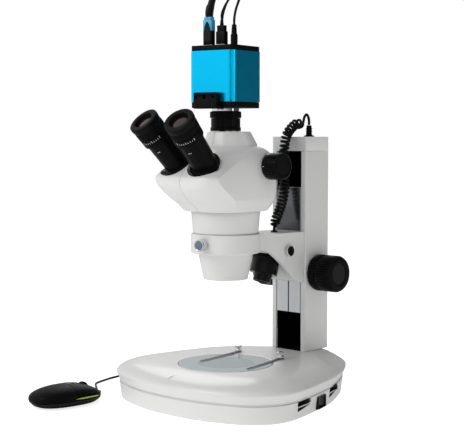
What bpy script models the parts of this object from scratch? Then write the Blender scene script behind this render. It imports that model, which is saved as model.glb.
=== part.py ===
"""Stereo microscope on a lit column stand, with its camera, mouse and leads.

Every size below is in millimetres and is turned into metres when a mesh is made.
+X is the user's right, -Y the user's side, +Z up. The optical axis is x = y = 0, and z = 0
is the underside of the base tray; the rubber feet stand on the table at z = TABLE_Z.
"""

import math

import bmesh
import bpy
from mathutils import Matrix, Vector

MM = 0.001
GAP = 0.3                    # clearance kept between touching pieces
STEPS = 20                   # sides of an ordinary round piece

# Base
TABLE_Z = -2.0
TRAY_TOP_Z = 26.0
COVER_BOTTOM_Z = 26.6
RIM_Z = 37.0
TOP_Z = 51.6
WALL = 3.0
STAGE_R = 63.3
STAGE_THICK = 4.0
FOOT_R = 9.0
FOOT_POCKET = 0.8            # depth of the round pocket that each foot sits in
FOOT_PLACES = {"front_left": (-72, -72), "front_right": (72, -72),
               "rear_left": (-62, 122), "rear_right": (62, 122)}
# Right half of the tray's outline, front centre to rear centre
OUTLINE = ((0, -111.5), (45.5, -108.5), (93.5, -94), (119, -78.4), (135.5, -56), (140.3, -32),
           (137, -4), (122, 60), (107.8, 97), (81, 146), (48, 182), (0, 196))
SIDES = 40                   # points round the base

# Side controls: places along the right wall and their height
WHEEL_Z = 20.5
WHEEL_R = 17.0
WHEEL_THICK = 4.6
FRONT_WHEEL = (125.5, -6.0)
REAR_WHEEL = (101.5, 84.8)
ROCKER_CENTRE = (130.1, 40.6, 11.8)
ROCKER_SINK = 2.5            # how far the rocker lies behind the wall
ROCKER_TURN = math.radians(14.5)

# Column and focus
COLUMN_HALF_W = 30.6
COLUMN_FRONT_Y = 130.9
COLUMN_REAR_Y = 183.0
COLUMN_WALL = 4.0
COLUMN_FOOT_Z = 51.9
CAP_SEAM_Z = 332.5
CAP_TOP_Z = 352.5
SLOT_HALF_W = 22.5
SLOT_FOOT_Z = 50.0           # the slot runs out through the column's foot
FOCUS_AXIS = (157.0, 162.0)  # y, z
KNOB_INNER_X = 31.2
KNOB_OUTER_X = 71.0
KNOB_R = 25.5
SHAFT_R = 4.0
PINION_R = 7.2

# Carriage
RAIL_Z = (106.0, 282.0)
ARM_HALF_W = 28.0
ARM_BACK_Y = 130.6
RING_Z = (200.0, 226.0)
RING_R = 46.0
COLLAR_BORE_R = 38.0
LAMP_PIVOT = (0.0, 84.5, 190.0)
LAMP_TILT = math.radians(18)
LAMP_R = 19.3
CLAMP_ANGLE = math.radians(-85)   # where round the ring the thumb screw stands
SIDE_SCREW = (96.0, 196.5)

# Head
NOSE_Z = 164.8
NOSE_R = 29.25
NECK_TOP_Z = 255.7
ZOOM_AXIS = (24.0, 314.5)
ZOOM_KNOB_X = (56.4, 80.0)
ZOOM_KNOB_R = 17.5
SEAM_HALF = 0.2
SHELL_WALL = 2.5
TURRET_TOP_Z = 360.0
TURRET_Y = 3.4

# Eyetubes, measured along their own axes from the seat on the head; they spread towards the eyes
EYE_HALF = 23.45
EYE_SEAT = (-62.8, 315.5)
EYE_PITCH = math.radians(45.7)
EYE_SPREAD = math.radians(5.65)
EYE_PAD_R = 24.9             # flat in the head that the eyetube slides on
EYE_PAD_SHIFT = 1.3

# Camera, turned a little on its thread
CAMERA_TURN = math.radians(8)
CAMERA_HALF = 35.0
PLATE_HALF = 33.3
CAMERA_Z = (390.3, 398.0, 464.0, 471.0)
PLUG_ROW_Y = -8.0
HDMI_X, USB_X, DC_X = -20.8, -0.4, 19.0

# Cord diameters
HDMI_D, USB_D, DC_D, LAMP_LEAD_D = 8.0, 3.0, 3.2, 15.0
LAMP_CORD_SHARE = 0.26       # the straight part of the lamp lead, as a share of its coiled part
LAMP_STRAIGHT = 5            # points of the straight part

OUT = bpy.data.collections.new("stereo_microscope")
CUTTERS = bpy.data.collections.new("cutters")


# ---------------------------------------------------------------- materials
def paint(name, colour, rough, metal=0.0):
    material = bpy.data.materials.new(name)
    material.use_nodes = True
    shader = material.node_tree.nodes["Principled BSDF"]
    shader.inputs["Base Color"].default_value = (*colour, 1)
    shader.inputs["Roughness"].default_value = rough
    shader.inputs["Metallic"].default_value = metal
    return material


WHITE = paint("white_housing", (0.66, 0.66, 0.65), 0.42)
BLACK = paint("black_plastic", (0.012, 0.012, 0.013), 0.4)
RUBBER = paint("black_rubber", (0.02, 0.02, 0.02), 0.75)
BLUE = paint("blue_anodised", (0.0, 0.32, 0.62), 0.3, 0.8)
CHROME = paint("chrome", (0.6, 0.6, 0.6), 0.15, 1.0)
ALUMINIUM = paint("brushed_aluminium", (0.55, 0.56, 0.57), 0.35, 1.0)
STEEL = paint("steel", (0.35, 0.35, 0.36), 0.35, 1.0)
GLASS = paint("stage_glass", (0.45, 0.52, 0.55), 0.1)
FROST = paint("frosted_panel", (0.7, 0.75, 0.78), 0.6)


# ---------------------------------------------------------------- helpers
def place(name, mesh, material, matrix=None, collection=OUT):
    piece = bpy.data.objects.new(name, mesh)
    if matrix is not None:
        moved = matrix.copy()
        moved.translation = moved.translation * MM
        piece.matrix_world = moved
    if material:
        mesh.materials.clear()
        mesh.materials.append(material)
    collection.objects.link(piece)
    return piece


def line_mesh(name, points, closed):
    mesh = bpy.data.meshes.new(name)
    count = len(points)
    edges = [(i, (i + 1) % count) for i in range(count if closed else count - 1)]
    mesh.from_pydata([Vector(p) * MM for p in points], edges, [])
    return mesh


def turned(name, profile, material, matrix=None, steps=STEPS, hollow=False, collection=OUT):
    """A profile of (radius, height) points, outer side downwards, turned round the local Z axis."""
    mesh = line_mesh(name, [(r, 0, z) for r, z in profile], hollow)
    piece = place(name, mesh, material, matrix, collection)
    screw = piece.modifiers.new("turn", "SCREW")
    screw.steps = screw.render_steps = steps
    screw.use_merge_vertices = True
    screw.merge_threshold = 0.00001
    screw.use_smooth_shade = True
    return piece


def from_curve(name, curve, material, matrix=None, collection=OUT):
    """The curve's evaluated shape as a mesh object with its caps welded."""
    guide = bpy.data.objects.new(name + "_guide", curve)
    bpy.context.scene.collection.objects.link(guide)
    shape = guide.evaluated_get(bpy.context.evaluated_depsgraph_get())
    mesh = bpy.data.meshes.new_from_object(shape)
    mesh.name = name
    bpy.data.objects.remove(guide)
    bm = bmesh.new()
    bm.from_mesh(mesh)
    bmesh.ops.remove_doubles(bm, verts=bm.verts, dist=0.00001)
    bmesh.ops.recalc_face_normals(bm, faces=bm.faces)
    bm.to_mesh(mesh)
    bm.free()
    return place(name, mesh, material, matrix, collection)


def extruded(name, outlines, low, high, material, matrix=None, collection=OUT):
    """Flat outlines in local XY, the inner ones holes, pulled from low to high along local Z."""
    curve = bpy.data.curves.new(name, "CURVE")
    curve.dimensions = "2D"
    curve.fill_mode = "BOTH"
    curve.extrude = (high - low) / 2 * MM
    for outline in outlines:
        spline = curve.splines.new("POLY")
        spline.points.add(len(outline) - 1)
        for point, (x, y) in zip(spline.points, outline):
            point.co = (x * MM, y * MM, 0, 1)
        spline.use_cyclic_u = True
    frame = (matrix or Matrix.Identity(4)) @ Matrix.Translation((0, 0, (low + high) / 2))
    return from_curve(name, curve, material, frame, collection)


def block(name, size, centre, material, bevel=0.0, turn=None, collection=OUT):
    """A box of the given size, with rounded edges where bevel is set."""
    mesh = bpy.data.meshes.new(name)
    bm = bmesh.new()
    bmesh.ops.create_cube(bm, size=1.0)
    bmesh.ops.scale(bm, vec=Vector(size) * MM, verts=bm.verts)
    bm.to_mesh(mesh)
    bm.free()
    frame = Matrix.Translation(centre) @ (turn or Matrix.Identity(4))
    piece = place(name, mesh, material, frame, collection)
    if bevel:
        rounding = piece.modifiers.new("edges", "BEVEL")
        rounding.width = bevel * MM
        rounding.segments = 2
    return piece


def tube(name, points, radius, material, thin=0, share=1.0, resolution=2):
    """A round cord along points, its first thin points narrower by share."""
    curve = bpy.data.curves.new(name, "CURVE")
    curve.dimensions = "3D"
    curve.bevel_depth = radius * MM
    curve.bevel_resolution = resolution
    curve.use_fill_caps = True
    spline = curve.splines.new("POLY")
    spline.points.add(len(points) - 1)
    for i, (point, p) in enumerate(zip(spline.points, points)):
        point.co = (*(Vector(p) * MM), 1)
        point.radius = share if i < thin else 1.0
    return from_curve(name, curve, material)


def combine(target, other, operation):
    """Cuts other out of target, or joins it to target; other becomes a hidden guide."""
    for holder in list(other.users_collection):
        holder.objects.unlink(other)
    CUTTERS.objects.link(other)
    other.hide_render = True
    other.display_type = "WIRE"
    step = target.modifiers.new(operation.lower(), "BOOLEAN")
    step.operation = operation
    step.object = other
    return target


def cut(target, *others):
    for other in others:
        combine(target, other, "DIFFERENCE")
    return target


def join(target, *others):
    for other in others:
        combine(target, other, "UNION")
    return target


def rounded_rectangle(half_x, half_y, radius, centre=(0, 0), corner=4):
    points = []
    for k, (sx, sy) in enumerate(((1, 1), (-1, 1), (-1, -1), (1, -1))):
        for i in range(corner + 1):
            a = math.pi / 2 * (k + i / corner)
            points.append((centre[0] + sx * (half_x - radius) + radius * math.cos(a),
                           centre[1] + sy * (half_y - radius) + radius * math.sin(a)))
    return points


def curve_through(points, per_span, closed=False):
    """A smooth Catmull-Rom curve through the points."""
    points = [Vector(p) for p in points]
    count = len(points)
    spans = count if closed else count - 1
    made = []
    for i in range(spans):
        if closed:
            a, b, c, d = (points[(i + k) % count] for k in (-1, 0, 1, 2))
        else:
            b, c = points[i], points[i + 1]
            a = points[i - 1] if i else b * 2 - c
            d = points[i + 2] if i + 2 < count else c * 2 - b
        for k in range(per_span):
            t = k / per_span
            made.append(0.5 * (2 * b + (c - a) * t + (2 * a - 5 * b + 4 * c - d) * t * t
                               + (3 * b - a - 3 * c + d) * t ** 3))
    if not closed:
        made.append(points[-1])
    return made


def evenly(points, count, closed=False):
    """The same line with count points at equal distances along it."""
    line = list(points) + ([points[0]] if closed else [])
    along = [0.0]
    for p, q in zip(line, line[1:]):
        along.append(along[-1] + (q - p).length)
    made, k = [], 0
    for i in range(count):
        target = along[-1] * i / (count if closed else count - 1)
        while k < len(line) - 2 and along[k + 1] < target:
            k += 1
        share = (target - along[k]) / max(along[k + 1] - along[k], 1e-9)
        made.append(line[k].lerp(line[k + 1], min(1, share)))
    return made


def loft(name, rings, material, wall=0.0, closed=True, floor=False):
    """A surface through rings of equal point counts. With wall it is a shell, open at its ends
    unless floor closes the first ring; without wall it is solid."""
    mesh = bpy.data.meshes.new(name)
    count = len(rings[0])
    verts = [Vector(p) * MM for ring in rings for p in ring]
    last = count if closed else count - 1
    faces = [(r * count + i, r * count + (i + 1) % count,
              (r + 1) * count + (i + 1) % count, (r + 1) * count + i)
             for r in range(len(rings) - 1) for i in range(last)]
    if floor or not wall:
        faces.append(tuple(reversed(range(count))))
    if not wall:
        faces.append(tuple(range((len(rings) - 1) * count, len(rings) * count)))
    mesh.from_pydata(verts, [], faces)
    piece = place(name, mesh, material)
    if wall:
        shell = piece.modifiers.new("wall", "SOLIDIFY")
        shell.thickness = wall * MM
        shell.offset = -1
        shell.use_even_offset = True
        shell.use_rim = True
    return piece


def along_x(y, z, x=0.0):
    """A frame whose local Z is the object's +X."""
    return Matrix.Translation((x, y, z)) @ Matrix.Rotation(math.pi / 2, 4, "Y")


# ---------------------------------------------------------------- base
def towards_column(x, y, share):
    """The point moved by share towards the column's footprint, the more the further back it is."""
    half = COLUMN_HALF_W + 1.5
    near = Vector((min(half, max(-half, x)),
                   min(COLUMN_REAR_Y + 1.5, max(COLUMN_FRONT_Y - 1.5, y))))
    return Vector((x, y)).lerp(near, share * min(1.0, max(0.0, (y - 95) / 50)))


def base_outline(z, offset, count=SIDES, rear_pull=0.0, front_extra=0.0):
    """The base's outline at height z, grown outwards by offset, inset more towards the front by
    front_extra and drawn in to the column at the rear by the share rear_pull."""
    half = [Vector(p) for p in OUTLINE]
    left = [Vector((-p.x, p.y)) for p in reversed(half[1:-1])]
    line = evenly(curve_through(half + left, 8, closed=True), count, closed=True)
    ring = []
    for i, p in enumerate(line):
        along = (line[(i + 1) % count] - line[i - 1]).normalized()
        out = Vector((along.y, -along.x))
        grow = offset + front_extra * max(0.0, -out.y)
        moved = towards_column(p.x + out.x * grow, p.y + out.y * grow, rear_pull)
        ring.append((moved.x, moved.y, z))
    return ring


def circle(radius, z, centre=(0, 0), count=SIDES, start=-math.pi / 2):
    return [(centre[0] + radius * math.cos(start + 2 * math.pi * i / count),
             centre[1] + radius * math.sin(start + 2 * math.pi * i / count), z)
            for i in range(count)]


def base_cover():
    ledge_z = TOP_Z - STAGE_THICK - GAP
    rings = [base_outline(COVER_BOTTOM_Z, 4.0), base_outline(31, 5.0), base_outline(RIM_Z, 8.0),
             base_outline(41, 6.0, rear_pull=0.26), base_outline(45.5, -1.5, rear_pull=0.58),
             base_outline(49, -9.0, rear_pull=0.82, front_extra=-8.0),
             base_outline(TOP_Z, -17.0, rear_pull=0.93, front_extra=-13.0),
             circle(STAGE_R + GAP, TOP_Z), circle(STAGE_R + GAP, ledge_z),
             circle(STAGE_R - 9, ledge_z)]
    return loft("base_cover", rings, WHITE, wall=WALL)


def base_tray():
    rings = [base_outline(0, -3.0), base_outline(1.5, 0.4), base_outline(TRAY_TOP_Z, 3.6)]
    tray = loft("base_tray", rings, WHITE, wall=WALL, floor=True)
    for k, (x, y) in enumerate((FRONT_WHEEL, REAR_WHEEL)):
        slot = turned("wheel_slot_%d" % k, disc(WHEEL_R + 0.8, 0, WHEEL_THICK + 1.2), None,
                      Matrix.Translation((x, y, WHEEL_Z - (WHEEL_THICK + 1.2) / 2)))
        cut(tray, slot)
    window = block("rocker_window", (14, 25, 16.5), ROCKER_CENTRE, None, turn=rocker_turn())
    inlet_window = block("inlet_window", (12, 14, 11), (0, 196, 14), None)
    cut(tray, window, inlet_window)
    for place_name, (x, y) in FOOT_PLACES.items():
        cut(tray, turned("foot_pocket_" + place_name, disc(FOOT_R + 0.5, TABLE_Z, FOOT_POCKET),
                         None, Matrix.Translation((x, y, 0))))


def disc(radius, low, high):
    """The profile of a plain disc."""
    return [(0, high), (radius, high), (radius, low), (0, low)]


def rocker_turn():
    return Matrix.Rotation(ROCKER_TURN, 4, "Z")


def base_controls():
    for name, (x, y) in (("front", FRONT_WHEEL), ("rear", REAR_WHEEL)):
        turned("brightness_wheel_" + name, disc(WHEEL_R, 0, WHEEL_THICK), BLACK,
               Matrix.Translation((x, y, WHEEL_Z - WHEEL_THICK / 2)))
    rocker = rocker_turn() @ Matrix.Translation((-ROCKER_SINK, 0, 0))
    block("power_rocker", (8, 22, 13.5), ROCKER_CENTRE, BLACK, bevel=1.0, turn=rocker)
    block("power_inlet", (11, 13, 10), (0, 192, 14), BLACK, bevel=0.8)


def stage():
    turned("stage_plate", [(0, TOP_Z), (STAGE_R - 0.6, TOP_Z), (STAGE_R, TOP_Z - 0.6),
                           (STAGE_R, TOP_Z - STAGE_THICK), (0, TOP_Z - STAGE_THICK)],
           GLASS, steps=40)
    ledge_under = TOP_Z - STAGE_THICK - GAP - WALL - GAP
    turned("light_panel", disc(STAGE_R - 3, ledge_under - 6, ledge_under), FROST, steps=28)
    for x, y, tip, side in ((-38.5, 68, (-31, -17), "left"), (38.5, 68, (51, -15), "right")):
        clip(x, y, tip, side)


def clip(x, y, tip, side):
    """A spring finger that turns round a thumb screw."""
    reach = Vector((tip[0] - x, tip[1] - y))
    heading = math.atan2(reach.y, reach.x)
    frame = Matrix.Translation((x, y, 0)) @ Matrix.Rotation(heading, 4, "Z")
    eye = [(4.5 * math.cos(a), 4.5 * math.sin(a)) for a in
           [math.radians(30 + 300 * i / 10) for i in range(11)]]
    length = reach.length
    finger = eye + [(length - 2, -1.6), (length, 0), (length - 2, 1.6)]
    hole = [(2.3 * math.cos(a), 2.3 * math.sin(a)) for a in
            [2 * math.pi * i / 12 for i in range(12)]]
    extruded("stage_clip_" + side, [finger, hole], TOP_Z + 0.8, TOP_Z + 1.8, STEEL, frame)
    low = TOP_Z + GAP
    turned("clip_screw_" + side,
           [(0, low + 9.6), (4.2, low + 9.6), (5, low + 9), (5, low + 7), (2.6, low + 6.4),
            (2.6, low + 4.4), (5, low + 4), (5, low + 1.9), (1.9, low + 1.9), (1.9, low), (0, low)],
           CHROME, Matrix.Translation((x, y, 0)), steps=16)


def feet():
    for place_name, (x, y) in FOOT_PLACES.items():
        turned("foot_" + place_name, disc(FOOT_R, TABLE_Z, FOOT_POCKET - GAP), RUBBER,
               Matrix.Translation((x, y, 0)))


# ---------------------------------------------------------------- column and focus
def column():
    mid_y = (COLUMN_FRONT_Y + COLUMN_REAR_Y) / 2
    half_y = (COLUMN_REAR_Y - COLUMN_FRONT_Y) / 2
    outer = rounded_rectangle(COLUMN_HALF_W, half_y, 2.5, (0, mid_y))
    inner = rounded_rectangle(COLUMN_HALF_W - COLUMN_WALL, half_y - COLUMN_WALL, 1.0, (0, mid_y), 2)
    body = extruded("column", [outer, inner], COLUMN_FOOT_Z, CAP_SEAM_Z, WHITE)
    slot_top = CAP_SEAM_Z + 10
    slot = block("column_slot", (2 * SLOT_HALF_W, 10, slot_top - SLOT_FOOT_Z),
                 (0, COLUMN_FRONT_Y, (slot_top + SLOT_FOOT_Z) / 2), None)
    bore = turned("shaft_bore", disc(SHAFT_R + GAP, -40, 40), None, along_x(*FOCUS_AXIS))
    cut(body, slot, bore)
    extruded("column_cap", [rounded_rectangle(COLUMN_HALF_W, half_y, 2.5, (0, mid_y))],
             CAP_SEAM_Z + GAP, CAP_TOP_Z, WHITE)
    turned("lamp_lead_gland",
           [(0, 368.6), (3.2, 368.6), (4.0, 366), (4.6, 355), (4.6, CAP_TOP_Z + GAP),
            (0, CAP_TOP_Z + GAP)], RUBBER, Matrix.Translation((4, 170.9, 0)), steps=16)


def focus_drive():
    end = KNOB_OUTER_X - 8
    turned("focus_pinion_shaft",
           [(0, end), (SHAFT_R, end), (SHAFT_R, 6), (PINION_R, 6), (PINION_R, -6),
            (SHAFT_R, -6), (SHAFT_R, -end), (0, -end)], STEEL, along_x(*FOCUS_AXIS))
    hollow_r = SHAFT_R + GAP
    for name, turn in (("right", 0), ("left", math.pi)):
        frame = Matrix.Translation((0, *FOCUS_AXIS)) @ Matrix.Rotation(turn, 4, "Z")
        frame = frame @ Matrix.Rotation(math.pi / 2, 4, "Y")
        profile = [(0, KNOB_OUTER_X), (KNOB_R - 4, KNOB_OUTER_X), (KNOB_R - 1, KNOB_OUTER_X - 2),
                   (KNOB_R, KNOB_OUTER_X - 5), (KNOB_R, KNOB_INNER_X + 3),
                   (KNOB_R - 1.5, KNOB_INNER_X), (hollow_r, KNOB_INNER_X),
                   (hollow_r, end + GAP), (0, end + GAP)]
        turned("focus_knob_" + name, profile, BLACK, frame)


# ---------------------------------------------------------------- carriage
def carriage():
    front = COLUMN_FRONT_Y
    half, lip = SLOT_HALF_W - 0.5, COLUMN_HALF_W - COLUMN_WALL - 0.6
    back = front + COLUMN_WALL + 8
    step = front + COLUMN_WALL + 0.4
    section = [(-half, front), (-1, front), (-1, front + 1.6), (1, front + 1.6), (1, front),
               (half, front), (half, step), (lip, step), (lip, back), (-lip, back),
               (-lip, step), (-half, step)]
    extruded("carriage_rail", [section], *RAIL_Z, ALUMINIUM)
    rack_y = FOCUS_AXIS[0] - PINION_R - 0.4
    block("focus_rack", (10, rack_y - back - GAP, RAIL_Z[1] - RAIL_Z[0] - 20),
          (0, (rack_y + back + GAP) / 2, sum(RAIL_Z) / 2), STEEL)
    arm()
    collar_screw()
    lamp()


def arm():
    side = Matrix(((0, 0, 1, 0), (1, 0, 0, 0), (0, 1, 0, 0), (0, 0, 0, 1)))
    profile = [(38, RING_Z[0] + 1.2), (47.5, 199.5), (62, 194.1), (79, 182.2), (91.7, 173),
               (104.7, 162.9), (117.7, 153.4), (ARM_BACK_Y, 149.5), (ARM_BACK_Y, 220.6), (78, 221),
               (48, 224.6), (38, 224.8)]
    body = extruded("arm", [profile], -ARM_HALF_W, ARM_HALF_W, WHITE, side)
    ring = turned("arm_ring", disc(RING_R, *RING_Z), None, steps=32)
    join(body, ring)
    bore = turned("collar_bore", disc(COLLAR_BORE_R, RING_Z[0] - 40, RING_Z[1] + 10), None, steps=32)
    arch = [(56, 140), (56, 186), (62, 197), (100, 206), (118, 200), (122, 190), (122, 140)]
    recess = extruded("lamp_recess", [arch], -23, 23, None, side)
    lead_hole = turned("lead_hole", disc(3.0, 195, 240), None, Matrix.Translation((2, 98, 0)), 12)
    screw_hole = turned("side_screw_hole", disc(2.4, 20, 32), None, along_x(*SIDE_SCREW), 12)
    cut(body, bore, recess, lead_hole, screw_hole)
    turned("arm_side_screw",
           [(0, 34.2), (6.4, 34.2), (7.4, 33.2), (7.4, ARM_HALF_W + GAP), (2.0, ARM_HALF_W + GAP),
            (2.0, 22), (0, 22)], CHROME, along_x(*SIDE_SCREW), 20)


def collar_screw():
    """The knurled thumb screw that clamps the head in the collar."""
    frame = Matrix.Translation((0, 0, 213)) @ Matrix.Rotation(CLAMP_ANGLE, 4, "Z")
    frame = frame @ Matrix.Rotation(math.pi / 2, 4, "Y")
    turned("collar_screw", [(0, 57.5), (7.2, 57.5), (8.0, 56.7), (8.0, RING_R + 2.5),
                            (5.0, RING_R + GAP), (0, RING_R + GAP)], CHROME, frame, 20)


def lamp():
    """The oblique lamp: local Z points up its own axis from the pivot."""
    frame = Matrix.Translation(LAMP_PIVOT) @ Matrix.Rotation(-LAMP_TILT, 4, "X")
    turned("lamp_housing",
           [(0, 4), (9, 4), (15, 1.5), (LAMP_R, -4), (LAMP_R, -27), (13.0, -28), (12.0, -38),
            (9.5, -38), (9.5, -34), (0, -34)], BLACK, frame)


# ---------------------------------------------------------------- head
# Horizontal slices of the right shell, front centre to rear centre
HEAD_SLICES = (
    (256.0, ((0, -52), (18, -51), (36, -42), (46, -25), (48.5, 5), (46, 30), (30, 48), (0, 54))),
    (262.0, ((0, -58.5), (20, -58), (39, -50), (49, -35), (52, 0), (51, 37), (34, 53), (0, 58))),
    (272.0, ((0, -72), (22, -73), (41, -66), (53, -42), (54.5, 0), (55, 40), (36, 57), (0, 60))),
    (283.0, ((0, -83.5), (24, -84.5), (45, -78), (54.5, -58), (55.3, 0), (55, 42), (37, 58),
             (0, 61))),
    (293.0, ((0, -88), (26, -90), (47, -84.5), (55, -70), (55.5, 0), (55, 42), (37, 58), (0, 61))),
    (301.0, ((0, -86), (27, -88.5), (47, -84.5), (55, -70), (55.5, 0), (55, 41), (37, 57), (0, 60))),
    (310.0, ((0, -78.5), (27, -78.8), (46, -76), (54.5, -58), (55.5, 0), (55, 40), (37, 56),
             (0, 59))),
    (321.0, ((0, -64), (27, -65.2), (44, -62), (54, -34), (55, 5), (54.5, 38), (36, 54), (0, 57))),
    (332.0, ((0, -46), (24, -51.6), (40, -44), (51, -10), (54, 15), (53, 33), (34, 49), (0, 53))),
    (338.0, ((0, -33), (16, -33), (30, -24), (42, 2), (45, 15), (43, 28), (28, 42), (0, 46))),
    (341.0, ((0, -24), (12, -23), (24, -16), (34, 0), (36, 12), (33, 25), (22, 36), (0, 40))),
    (TURRET_TOP_Z, ((0, -21), (10, -20), (20, -15), (28.5, -2), (31, 8), (27, 20), (16, 31),
                    (0, 34.4))),
)


def head_slice(z, points, count=14):
    """One slice of a shell half, smoothed and evenly spaced, and kept off the centre seam."""
    mirrored = [Vector((-points[1][0], points[1][1])), *map(Vector, points),
                Vector((-points[-2][0], points[-2][1]))]
    smooth = curve_through(mirrored, 6)[6:-6]
    line = evenly(smooth, count)
    return [(max(p.x, SEAM_HALF), p.y, z) for p in line]


def half_circle(radius, z, centre_y, count=14):
    return [(max(SEAM_HALF, radius * math.sin(math.pi * i / (count - 1))),
             centre_y - radius * math.cos(math.pi * i / (count - 1)), z) for i in range(count)]


def head_shells():
    rings = [half_circle(34, 256.0, 0)]
    rings += [head_slice(z, points) for z, points in HEAD_SLICES]
    rings.append(half_circle(15, TURRET_TOP_Z, TURRET_Y))
    for side, sign in (("right", 1), ("left", -1)):
        mirrored = [[(sign * x, y, z) for x, y, z in ring] for ring in rings]
        if sign < 0:
            mirrored = [list(reversed(ring)) for ring in mirrored]
        shell = loft("head_shell_" + side, mirrored, WHITE, wall=SHELL_WALL, closed=False)
        zoom_bore = turned("zoom_bore_" + side, disc(SHAFT_R + GAP, -90, 90), None,
                           along_x(*ZOOM_AXIS), 16)
        seat = eye_frame(sign)
        pad = turned("eye_pad_" + side, disc(EYE_PAD_R, 0.0, 14), None,
                     seat @ Matrix.Translation((sign * EYE_PAD_SHIFT, 0, 0)), 28)
        well = turned("eye_well_" + side, disc(16.0, -16, 6), None, seat, 24)
        cheek = block("cheek_clear_" + side, (6, 44, 44), (sign * 59.0, *ZOOM_AXIS), None)
        cut(shell, zoom_bore, pad, well, cheek)


def eye_frame(sign, along=0.0):
    """Local Z runs up the eyetube's axis from its seat on the head."""
    frame = Matrix.Translation((sign * EYE_HALF, *EYE_SEAT))
    frame = frame @ Matrix.Rotation(math.pi / 2 - EYE_PITCH, 4, "X")
    frame = frame @ Matrix.Rotation(sign * EYE_SPREAD, 4, "Y")
    return frame @ Matrix.Translation((0, 0, along))


def eyetubes():
    for side, sign in (("right", 1), ("left", -1)):
        frame = eye_frame(sign)
        turned("eyetube_" + side,
               [(15.3, 52), (16.8, 52), (16.8, 5.4), (20.4, 5), (20.4, GAP), (15.3, GAP)],
               BLACK, frame, hollow=True)
        turned("diopter_ring_" + side,
               [(15.4, 62), (18.8, 62), (19.4, 61.4), (19.4, 49.5), (17.2, 49.5), (17.2, 55.5),
                (15.4, 55.5)], BLACK, frame, hollow=True)
        turned("eyepiece_" + side,
               [(0, 78.5), (12, 78.5), (12.6, 82.4), (19.2, 82.4), (20.2, 81.4), (20.2, 77),
                (19.8, 73), (19.6, 72), (19.6, 62.3), (15, 62.3), (15, 24), (0, 24)], RUBBER, frame)


def barrel():
    """The neck, the register that sits in the collar, and the nose cone, open at the top."""
    seat = COLLAR_BORE_R - GAP
    low, high = RING_Z
    floor = NOSE_Z + 10
    turned("objective_barrel",
           [(0, floor), (24, floor), (31, low), (31, high + 5), (40, NECK_TOP_Z - 5),
            (40, NECK_TOP_Z), (46, NECK_TOP_Z), (43.4, high + GAP), (seat, high + GAP),
            (seat, low - 1), (36.5, low - 1.5), (NOSE_R + 0.3, NOSE_Z + 1), (NOSE_R, NOSE_Z),
            (24, NOSE_Z), (24, NOSE_Z + 5), (0, NOSE_Z + 5)], WHITE, steps=28)


def zoom_drive():
    end = ZOOM_KNOB_X[1] - 8
    turned("zoom_shaft",
           [(0, end), (SHAFT_R, end), (SHAFT_R, 12), (14, 12), (14, -12), (SHAFT_R, -12),
            (SHAFT_R, -end), (0, -end)], STEEL, along_x(*ZOOM_AXIS), 20)
    inner, outer = ZOOM_KNOB_X
    hollow_r = SHAFT_R + GAP
    for name, turn in (("right", 0), ("left", math.pi)):
        frame = Matrix.Translation((0, *ZOOM_AXIS)) @ Matrix.Rotation(turn, 4, "Z")
        frame = frame @ Matrix.Rotation(math.pi / 2, 4, "Y")
        turned("zoom_knob_" + name,
               [(0, outer), (14.5, outer), (16.3, outer - 1), (ZOOM_KNOB_R, outer - 3),
                (ZOOM_KNOB_R, inner + 4), (16.6, inner + 3), (16.6, inner), (hollow_r, inner),
                (hollow_r, end + GAP), (0, end + GAP)], BLACK, frame)


# ---------------------------------------------------------------- camera
def camera_frame(x=0.0, y=0.0, z=0.0):
    turn = Matrix.Rotation(CAMERA_TURN, 4, "Z")
    return turn @ Matrix.Translation((x, y, z))


def camera():
    turned("camera_adapter",
           [(15.0, 377), (19.3, 377), (19.3, 365.4), (20.2, 365), (20.2, TURRET_TOP_Z + GAP),
            (15.0, TURRET_TOP_Z + GAP)], BLACK, hollow=True)
    turned("camera_mount_ring",
           [(15.0, 390), (17, 390), (17, 386.2), (20.7, 385.6), (20.7, 377.6), (15.0, 377.3)],
           BLACK, hollow=True)
    low, shell_low, shell_high, high = CAMERA_Z
    plate = rounded_rectangle(PLATE_HALF, PLATE_HALF, 5)
    skin = rounded_rectangle(CAMERA_HALF, CAMERA_HALF, 5)
    hollow = rounded_rectangle(CAMERA_HALF - 2.5, CAMERA_HALF - 2.5, 3)
    extruded("camera_bottom_plate", [plate], low, shell_low, BLACK, camera_frame())
    extruded("camera_shell", [skin, hollow], shell_low + GAP, shell_high, BLUE, camera_frame())
    extruded("camera_top_plate", [plate], shell_high + GAP, high, BLACK, camera_frame())
    bracket = block("camera_bracket", (36, 9.6, 21), (0, 0, 0), BLACK, bevel=0.8)
    bracket.matrix_world = metres(camera_frame(-1.7, -CAMERA_HALF - GAP - 4.8, 399.5))
    plugs(high + GAP)


def metres(matrix):
    made = matrix.copy()
    made.translation = made.translation * MM
    return made


def plugs(foot):
    """The three plugs in the camera's top plate, each with its strain relief."""
    hdmi = camera_frame(HDMI_X, PLUG_ROW_Y, 0)
    extruded("hdmi_plug", [rounded_rectangle(7.5, 4.5, 2)], foot, 509.6, BLACK, hdmi)
    place_usb = camera_frame(USB_X, PLUG_ROW_Y, 0)
    usb = extruded("usb_plug", [rounded_rectangle(7.4, 4, 1.5)], foot, 489.9, BLACK, place_usb)
    join(usb, extruded("usb_step", [rounded_rectangle(6.2, 3.4, 1.5)], 489, 497.7, None, place_usb),
         turned("usb_relief", disc(2.9, 496, 505.6), None, place_usb, 12))
    turned("camera_power_plug", [(0, 497), (2.4, 497), (4.6, 482), (4.6, foot), (0, foot)], BLACK,
           camera_frame(DC_X, PLUG_ROW_Y, 0), 16)


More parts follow.
